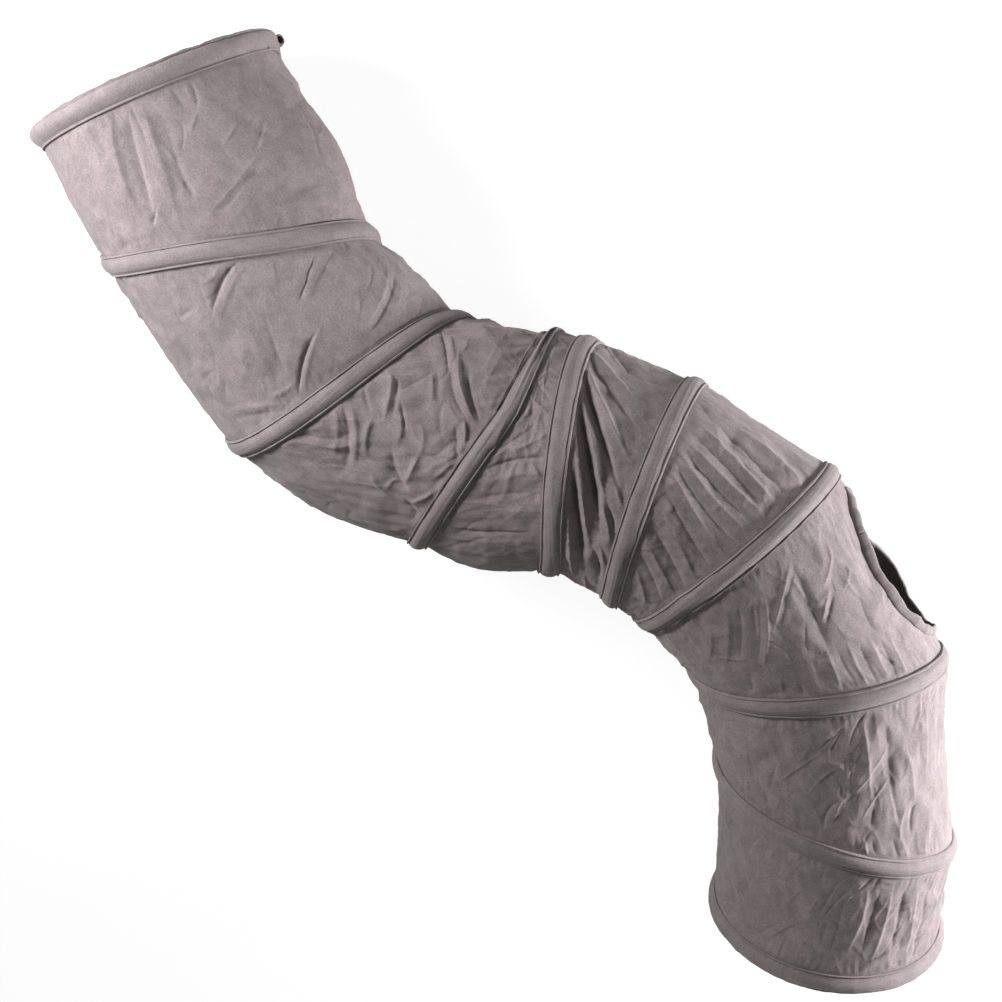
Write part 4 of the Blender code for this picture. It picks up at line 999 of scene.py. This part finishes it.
# The whole cloth is settled and folded at once, and then cut into half sections
def layCloth():
    ring, ends = clothRows()
    ring, angle = np.meshgrid(ring, clothAngles()[:-1], indexing="ij")
    before, here, after, gap = clothSeams(ring, angle)
    near, far = here - before, after - here
    outer, out = stretchCloth(ring, angle, before, here, after, gap)
    hole = peepholeShare(ring, angle)
    free = smooth(np.minimum(near, far) / cloth["sewn"])
    free[hole < peephole["margin"]] = 0
    free[[0, -1]] = 0
    free[:, [0, 1, -2, -1]] = 0
    rounds = cloth["rounds"]
    if rounds:
        lengths = [(1 + cloth["growth"]) * size for size in threadLengths(outer)]
        outer = settle(outer, lengths, free, rounds)
    print("cloth settled in", rounds, "rounds")
    outer = outer + foldCloth(outer, ring, angle, near, far, gap)[..., None] * out
    normal = -gridNormals(outer, True)
    inner = outer - cloth["thickness"] * normal
    # Painted shade on the cloth where it meets a band or hem, fading away from the seam
    dark, fades = cloth["seam"]
    paintedSeamShade = dark * np.exp(-np.maximum(np.minimum(near, far), 0) / fades)
    for half in range(halfCount):
        rows = slice(ends[half], ends[half + 1] + 1)
        out, inn, nor = outer[rows], inner[rows], normal[rows]
        faces, used, kept = sheetFaces(*out.shape[:2], hole[rows] < 1)
        points = np.concatenate([out.reshape(-1, 3), inn.reshape(-1, 3)])
        normals = np.concatenate([nor.reshape(-1, 3), -nor.reshape(-1, 3)])
        shade = np.tile(paintedSeamShade[rows].ravel(), 2)
        item = buildMesh(f"clothHalf{half + 1:02d}", points[used], faces, panelSuede, normals[used],
                         {"seam": shade[used]})
        rideHalf(item, half)
        replaceHalf(half, "cover_panel")
        some = angle[0, ::cloth["measured"][1]]
        edge = place(halfEdges[half:half + 2][None], some[:, None], cloth["radius"])
    return ring[:, 0], outer


# Shade of a line along both sides of a band, a bell round its place: painted shade in the groove at each
# seam, or dark stitch thread
def lineShade(across, line):
    middle, breadth, dark = line
    return dark * np.exp(-((np.abs(across) - middle) / breadth)**2)


# Casings, cut at the same planes as the cloth. At each plane and each place across the band
# the turn is found where that place crosses the plane. The surface is the band's place on the
# tube, raised by the profile across it.
def layCasings():
    reach = np.array([pair[0] for pair in casing["rise"]])
    rise = np.array([pair[1] for pair in casing["rise"]])
    across = np.concatenate([-reach[::-1], reach[1:]])
    rise = np.concatenate([rise[::-1], rise[1:]])
    under = np.maximum(rise - casing["thickness"], casing["least"][0])
    turn, middle, low, high = bandTable
    for half in range(halfCount):
        count = int(math.pi * cloth["radius"] / casing["step"]) + 1
        share = np.linspace(0, 1, count + 1)
        at, real = [], []
        for u in across:
            reached = middle + abs(u) * ((low if u < 0 else high) - middle)
            rising = np.maximum.accumulate(reached) + 1e-7 * np.arange(len(reached))
            first, last = np.interp(halfEdges[half:half + 2], rising, turn)
            at.append(first + (last - first) * share)
            real.append(np.interp(at[-1], turn, reached))
        at, real = np.array(at).T, np.array(real).T
        lipShare = smooth((np.abs(across) - casing["lip"][0]) / casing["lip"][1])
        ragged = blotches(at / ringCount, at * 0 + 0.5 * np.sign(across), 700, 8, 21) - 0.5
        slack = blotches(at / ringCount, across + 0 * at, 260, 9, 22) - 0.5
        tall = rise * (1 + casing["slack"] * slack) + lipShare * casing["ragged"] * ragged
        tall = np.maximum(tall, under + casing["least"][1])
        top = place(real, angleOf(at), cloth["radius"] + tall)
        back = place(real, angleOf(at), cloth["radius"] + np.broadcast_to(under, at.shape))
        loop = np.concatenate([top, back[:, ::-1]], 1)
        normal = gridNormals(loop, True)
        normal[:, :len(across)] = gridNormals(top, False)
        # Painted shade in the groove along each seam, dashes of dark stitch thread, and full painted shade
        # over the underside
        seam = lineShade(across, casing["seam"])
        thread = np.sin(tau * at * tau * cloth["radius"] / casing["stitchLength"]) > 0.2
        stitch = thread * lineShade(across, casing["stitch"])
        shade = np.concatenate([seam + stitch, np.ones(at.shape)], 1)
        faces = [face[:, ::-1] for face in tubeFaces(*loop.shape[:2])]
        item = buildMesh(f"casingHalf{half + 1:02d}", loop, faces, bandSuede, normal, {"seam": shade})
        rideHalf(item, half)
        replaceHalf(half, "casing_turn")
        plain = place(real, angleOf(at), cloth["radius"])


# Points of a hem: inside the tunnel it follows the cloth, past the hoop it goes straight on
def hemSpots(ring, mirror, ahead, angle, radius):
    start = distanceAt(ring, angle)
    along = place(ringAt(start + mirror * np.maximum(ahead, 0), angle), angle, radius)
    beyond = place(np.full(angle.shape, ring), angle, radius, mirror * np.minimum(ahead, 0))
    return np.where((ahead <= 0)[..., None], beyond, along)


# Raw edge of a second layer of cloth that stands out past a hem. It is widest over the top
# of the mouth and frays a little. Its ends are in degrees, the rest in metres.
edging = {
    "front": {"least": 0.0002, "most": 0.0026, "from": -35, "to": 150, "seed": 61},
    "rear": {"least": 0.0002, "most": 0.0012, "from": 20, "to": 160, "seed": 71},
    "fade": 60,  # degrees over which it widens
    "thickness": 0.0009,
    "radius": 0.1236,
    "rows": 7,
    "root": 0.0035,  # from the hoop's plane to where it comes out from under the hem
    "fraying": (0.22, 0.0007),  # of its width, as a share, and everywhere
    "rise": 0.0004,  # of the radius, from root to edge
    "wave": 0.0022,
    "shade": (0.9, 0.3),  # painted shade at the root, where it comes out from under the hem, and the share of the width that it covers; the underside gets it all over
}


# Wide where it shows, by the smooth steps of its two ends, and frayed by soft noise
def layEdging(ring, mirror, angle, shape):
    degrees = (np.degrees(angle) + 90) % 360 - 90
    wide = smooth((degrees - shape["from"]) / edging["fade"])
    wide = wide * smooth((shape["to"] - degrees) / edging["fade"])
    level = np.full(len(angle), 0.4)
    frayed = blotches(level, angle / tau, 4, 90, shape["seed"])
    frayed = frayed + 0.6 * blotches(level, angle / tau, 4, 240, shape["seed"] + 1) - 0.8
    reach = (shape["most"] - shape["least"]) * wide * (1 + edging["fraying"][0] * frayed)
    reach = hem["edge"] + shape["least"] + reach + edging["fraying"][1] * frayed
    wave = blotches(level, angle / tau, 4, 26, shape["seed"] + 2) - 0.5
    share = np.linspace(0, 1, edging["rows"])[:, None]
    ahead = -(edging["root"] + share * (reach - edging["root"]))
    radius = edging["radius"] + edging["rise"] * share + edging["wave"] * wave * share * wide
    ahead = np.concatenate([ahead, ahead[::-1]])
    radius = np.concatenate([radius, radius[::-1] - edging["thickness"]])
    turned = np.broadcast_to(angle, ahead.shape)
    points = place(np.full(ahead.shape, float(ring)), turned, radius, mirror * ahead)
    # Painted shade at the root under the hem's roll, and all over the strip's underside
    dark, covered = edging["shade"]
    shade = np.concatenate([dark * (share < covered), dark + 0 * share])
    return points, np.broadcast_to(shade, ahead.shape), float(reach.mean()) - edging["root"]


# One hem: its profile is carried round the mouth, waving a little, with the raw edge of the
# layer below as a second strip of the same mesh
def layHem(name, ring, mirror, seed, shape):
    mark = np.array(hem["rise"])
    step = np.gradient(mark, axis=0)
    side = np.stack([-step[:, 1], step[:, 0]], 1)
    side /= np.linalg.norm(side, axis=1, keepdims=True)
    inside = mark + hem["thickness"] * side
    ringMarks = np.concatenate([mark, inside[::-1]])
    columns = hem["columns"]
    angle = mirror * angleOf(np.arange(columns) / columns) + (0 if mirror > 0 else math.pi)
    wave = blotches(np.full(columns, 0.3), angle / tau, 4, 60, seed) - 0.5
    small = blotches(np.full(columns, 0.3), angle / tau, 4, 170, seed + 1) - 0.5
    ahead, turned = np.meshgrid(ringMarks[:, 0], angle, indexing="ij")
    radius = np.broadcast_to(ringMarks[:, 1][:, None], ahead.shape)
    outward = smooth((hem["waving"][0] - ahead) / hem["waving"][1])
    ahead = ahead - outward * (hem["waves"][0] * wave + hem["waves"][1] * small)
    radius = radius + hem["swells"][0] * wave + hem["swells"][1] * small
    points = hemSpots(float(ring), mirror, ahead, turned, radius)
    # Painted shade in the groove at the inner seam, and full painted shade over the hem's inner side
    dark, breadth, least = hem["grooveShade"]
    seam = dark * np.exp(-((mark[:, 0] - hem["seam"]) / breadth)**2) * (mark[:, 1] > least)
    shade = np.concatenate([seam, np.ones(len(mark))])
    shade = np.broadcast_to(shade[:, None], (len(shade), columns))
    edge, edgeShade, width = layEdging(ring, mirror, angle, shape)
    faces, normals, start = [], [], 0
    for loop in (points, edge):
        quads = gridFaces(len(loop) + 1, columns)
        faces.append(quads % (len(loop) * columns) + start)
        normals.append(gridNormals(np.concatenate([loop, loop[:1]]), True)[:-1])
        start += len(loop) * columns
    item = buildMesh(name, np.concatenate([points, edge]), faces, bandSuede, np.concatenate(normals),
                     {"seam": np.concatenate([shade, edgeShade])})
    return item, width


# Both hems, each riding with its outermost half section
def layHems():
    ends = (("front", 1, 1, 0, 31), ("rear", ringCount, -1, halfCount - 1, 41))
    for side, ring, mirror, half, seed in ends:
        item, width = layHem(f"{side}Hem", ring, mirror, seed, edging[side])
        body, joint, axis, _, _ = sectionOf(half)
        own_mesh(item)
        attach(item, body)
        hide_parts(f"{side}_hem")


# Rolled binding of the peephole, cut where the cloth is cut: an oval on the cloth, whose
# points are read between the four nearest of the cloth's own
def layBinding(clothRing, clothSpots):
    count = peephole["count"]
    share = np.arange(count) / count
    middle = math.radians(peephole["angle"])
    start = distanceAt(peephole["ring"], middle)
    ring = ringAt(start + peephole["length"] / 2 * np.cos(tau * share), np.full(count, middle))
    angle = middle + peephole["height"] / 2 * np.sin(tau * share) / cloth["radius"]
    row = np.interp(ring, clothRing, np.arange(len(clothRing)))
    columns = cloth["columns"]
    turned = -math.pi / 2 - (-math.pi / 2 - angle) % tau
    column = np.interp(turned, clothAngles()[::-1], np.arange(columns, -1, -1))
    i, j = row.astype(int), column.astype(int) % columns
    s, t = (row - i)[:, None], (column % 1.0)[:, None]
    k = (j + 1) % columns
    path = ((clothSpots[i, j] * (1 - t) + clothSpots[i, k] * t) * (1 - s)
            + (clothSpots[i + 1, j] * (1 - t) + clothSpots[i + 1, k] * t) * s)
    wave = blotches(np.full(count, 0.3), share, 3, 34, 51) - 0.5
    fine = blotches(np.full(count, 0.6), share, 3, 90, 52) - 0.5
    centre, heading = frameAt(ring)
    up = path - centre
    up /= np.linalg.norm(up, axis=1, keepdims=True)
    nearRim = smooth(0.5 + 1.5 * np.sin(tau * share))
    up[:, 2] += peephole["upright"] * nearRim
    up /= np.linalg.norm(up, axis=1, keepdims=True)
    flare = peephole["flare"] * nearRim * (1 + peephole["flareWave"] * wave)
    path = path + flare[:, None] * leftOf(heading) + (peephole["frayed"] * fine)[:, None] * up
    half = np.clip(np.floor((ring - 1) * 2).astype(int), 0, halfCount - 1)
    long, short, tallShort = peephole["uneven"]
    wide = peephole["rollWide"] * (1 + long * wave + short * fine)
    farRim = peephole["farRim"]
    tall = peephole["rollTall"] * (farRim - (farRim - 1) * nearRim + tallShort * fine)
    breaks = np.flatnonzero(half != np.roll(half, 1))
    for number, (first, last) in enumerate(zip(breaks, np.append(breaks[1:], breaks[0] + count))):
        pick = np.arange(first, last + 1) % count
        item = buildTube(f"peepholeRoll{number + 1}", path[pick], wide[pick], tall[pick], up[pick],
                         bandSuede)
        rideHalf(item, int(half[first]))
        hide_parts("peephole_binding")


# Spring wire, in metres
wire = {
    "radius": 0.1241,  # of the spring
    "rod": 0.0015,  # half its thickness
    "lap": 0.0019,  # half the distance between a hoop's two ends, which lie side by side
    "hoopSteps": 60,
    "steps": 510,  # of the winding
    "sides": 8,
}


# Spring wire: front hoop, winding and rear hoop, one rod cut where the cloth is cut
def layWire():
    hoop, lap = wire["hoopSteps"], wire["lap"]
    front = np.linspace(helixStart - 1, helixStart, hoop + 1)[:-1]
    wound = np.linspace(helixStart, helixEnd, wire["steps"] + 1)
    rear = np.linspace(helixEnd, helixEnd + 1, hoop + 1)[1:]
    turn = np.concatenate([front, wound, rear])
    ring = np.concatenate([np.ones(hoop), windingRing(wound), np.full(hoop, float(ringCount))])
    across = np.linspace(-lap, lap, hoop)
    ahead = np.concatenate([across, np.zeros(len(wound)), across])
    path = place(ring, angleOf(turn), wire["radius"], ahead)
    up = path - frameAt(ring)[0]
    half = np.clip(np.floor((ring - 1) * 2 - 1e-9).astype(int), 0, halfCount - 1)
    for number in range(halfCount):
        pick = np.flatnonzero(half == number)
        pick = np.arange(pick[0], min(pick[-1] + 2, len(path)))
        item = buildTube(f"springWire{number + 1:02d}", path[pick], wire["rod"], wire["rod"], up[pick],
                         springSteel, wire["sides"])
        rideHalf(item, number)
        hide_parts("spring_wire")


# Cloth end of the hoop's sleeve, sewn down on the outside of the front hem. It is a short
# flattened tube with a blind bore at each end.
sleeve = {
    "angle": -30.0, "ahead": 0.0028, "length": 0.014, "radius": 0.1297,
    "wide": 0.0056, "tall": 0.0044,
    "bore": 0.58,  # share of the width and height
    "depth": 0.005,
    "rim": 0.0004,  # rounding of the bore's rim, and of the end's edge in the next two
    "edge": 0.0006,
    "rounded": 0.92,
    "unevenness": 0.14,
    "sides": 28,
}


# Ellipses along the sleeve, from the end of one bore out over the cloth to the other's
def laySleeve():
    middle, sides, bore = math.radians(sleeve["angle"]), sleeve["sides"], sleeve["bore"]
    half = sleeve["length"] / 2
    inside = half - sleeve["depth"]
    marks = [(inside, 0.02), (inside, bore), (half - sleeve["rim"], bore), (half, bore + 0.1),
             (half, sleeve["rounded"]), (half - sleeve["edge"], 1.0)]
    between = [(x, 1.0) for x in (-half / 2, 0, half / 2)]
    marks = np.array([(-a, b) for a, b in marks] + between + marks[::-1])
    turn = tau * np.arange(sides) / sides
    uneven = blotches(np.full(sides, 0.4), turn / tau, 4, 7, 91) - 0.5
    wave = 1 + sleeve["unevenness"] * uneven
    along, share = marks[:, :1], marks[:, 1:]
    angle = middle + along / sleeve["radius"]
    ahead = sleeve["ahead"] + sleeve["wide"] * share * wave * np.cos(turn)
    radius = sleeve["radius"] + sleeve["tall"] * share * wave * np.sin(turn)
    points = place(np.ones(ahead.shape), angle + 0 * ahead, radius, ahead)
    # The bores' insides are darkened all over: painted shade in a recess
    inner = (share < 0.6) | (np.abs(along) < inside - 1e-6) & (share < 0.9)
    shade = np.broadcast_to(np.where(inner, 1.0, 0.0), points.shape[:2])
    item = buildMesh("sleeveEnd", points, tubeFaces(len(marks), sides), bandSuede, None, {"seam": shade})
    rideHalf(item, 0)
    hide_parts("sleeve_end")


# The two ferrules keep the shapes that they came with
def finishFittings():
    for node in ("wire_ferrule_front", "wire_ferrule_rear"):
        bpy.data.objects[node].material_slots[0].material = ferruleAlloy


# Camera, lamps and floor, in metres and watts
studio = {
    "leftLamp": {"spot": (-0.96, -0.27, 0.73), "aim": (-0.41, -0.06, 0.15), "size": 0.30, "power": 12.5},
    "rightLamp": {"spot": (1.02, 1.10, 0.14), "aim": (0.28, 0.14, 0.14), "size": 0.28, "power": 38},
    "rearLamp": {"spot": (0.88, -0.30, 0.42), "aim": (0.60, -0.04, 0.20), "size": 0.25, "power": 0.7},
    "sky": 0.15,  # brightness of the surroundings, apart from what the camera sees
    "floor": {
        "half": 6, "height": -0.0005, "grey": 0.86, "rough": 0.9,
        "glow": 1.25, "share": 0.72,  # brightness that the camera sees mixed in, and how much
    },
}


# A square lamp turned from its spot towards its aim
def hangLamp(name, spot, aim, size, power):
    lamp = bpy.data.lights.new(name, "AREA")
    lamp.energy = power
    lamp.size = size
    item = bpy.data.objects.new(name, lamp)
    item.location = spot
    away = np.array(spot) - np.array(aim)
    tilt = math.atan2(math.hypot(away[0], away[1]), away[2])
    item.rotation_euler = (tilt, 0, math.atan2(away[0], -away[1]))
    item.visible_camera = False
    bpy.context.scene.collection.objects.link(item)


# White paper: a matt grey that light falls on, mixed with an even glow that only the camera
# and mirror or clear surfaces see
def makePaper():
    look = studio["floor"]
    paper = bpy.data.materials.new("paperFloor")
    paper.use_nodes = True
    nodes, links = paper.node_tree.nodes, paper.node_tree.links
    shader = nodes["Principled BSDF"]
    shader.inputs["Base Color"].default_value = (look["grey"], look["grey"], look["grey"], 1)
    shader.inputs["Roughness"].default_value = look["rough"]
    glow = nodes.new("ShaderNodeEmission")
    glow.inputs["Strength"].default_value = look["glow"]
    path = nodes.new("ShaderNodeLightPath")

    def combine(operation, first, second):
        node = nodes.new("ShaderNodeMath")
        node.operation = operation
        links.new(first, node.inputs[0])
        if isinstance(second, float):
            node.inputs[1].default_value = second
        else:
            links.new(second, node.inputs[1])
        return node

    seen = combine("ADD", path.outputs["Is Camera Ray"], path.outputs["Is Glossy Ray"])
    seen = combine("ADD", seen.outputs[0], path.outputs["Is Transmission Ray"])
    part = combine("MULTIPLY", seen.outputs[0], look["share"])
    part.use_clamp = True
    blend = nodes.new("ShaderNodeMixShader")
    links.new(part.outputs[0], blend.inputs[0])
    links.new(shader.outputs[0], blend.inputs[1])
    links.new(glow.outputs[0], blend.inputs[2])
    links.new(blend.outputs[0], nodes["Material Output"].inputs["Surface"])
    return paper


# Surroundings: white to the camera and dim to everything else
def makeSky():
    world = bpy.data.worlds.new("studio")
    world.use_nodes = True
    nodes, links = world.node_tree.nodes, world.node_tree.links
    background = nodes["Background"]
    background.inputs["Color"].default_value = (1, 1, 1, 1)
    path = nodes.new("ShaderNodeLightPath")
    strength = nodes.new("ShaderNodeMapRange")
    strength.inputs["To Min"].default_value = studio["sky"]
    strength.inputs["To Max"].default_value = 1.0
    links.new(path.outputs["Is Camera Ray"], strength.inputs["Value"])
    links.new(strength.outputs["Result"], background.inputs["Strength"])
    return world


def buildStudio():
    lens = bpy.data.cameras.new("photoCamera")
    lens.sensor_width = 36
    lens.lens = photo["focal"] / photo["size"] * lens.sensor_width
    camera = bpy.data.objects.new("photoCamera", lens)
    camera.location = photo["spot"]
    camera.rotation_euler = [math.radians(a) for a in photo["turned"]]
    bpy.context.scene.collection.objects.link(camera)
    bpy.context.scene.camera = camera
    for name in ("leftLamp", "rightLamp", "rearLamp"):
        hangLamp(name, **studio[name])
    half, height = studio["floor"]["half"], studio["floor"]["height"]
    corners = [(-half, -half, height), (half, -half, height), (half, half, height), (-half, half, height)]
    mesh = bpy.data.meshes.new("paperFloor")
    mesh.from_pydata(corners, [], [(0, 1, 2, 3)])
    mesh.materials.append(makePaper())
    floor = bpy.data.objects.new("paperFloor", mesh)
    bpy.context.scene.collection.objects.link(floor)
    bpy.context.scene.world = makeSky()
    bpy.context.scene.view_settings.view_transform = "Standard"


buildStudio()
print("studio set")
clothRing, clothSpots = layCloth()
print("cloth laid")
layCasings()
print("casings laid")
layHems()
print("hems laid")
layBinding(clothRing, clothSpots)
layWire()
laySleeve()
finishFittings()
print("peephole, wire and fittings laid")
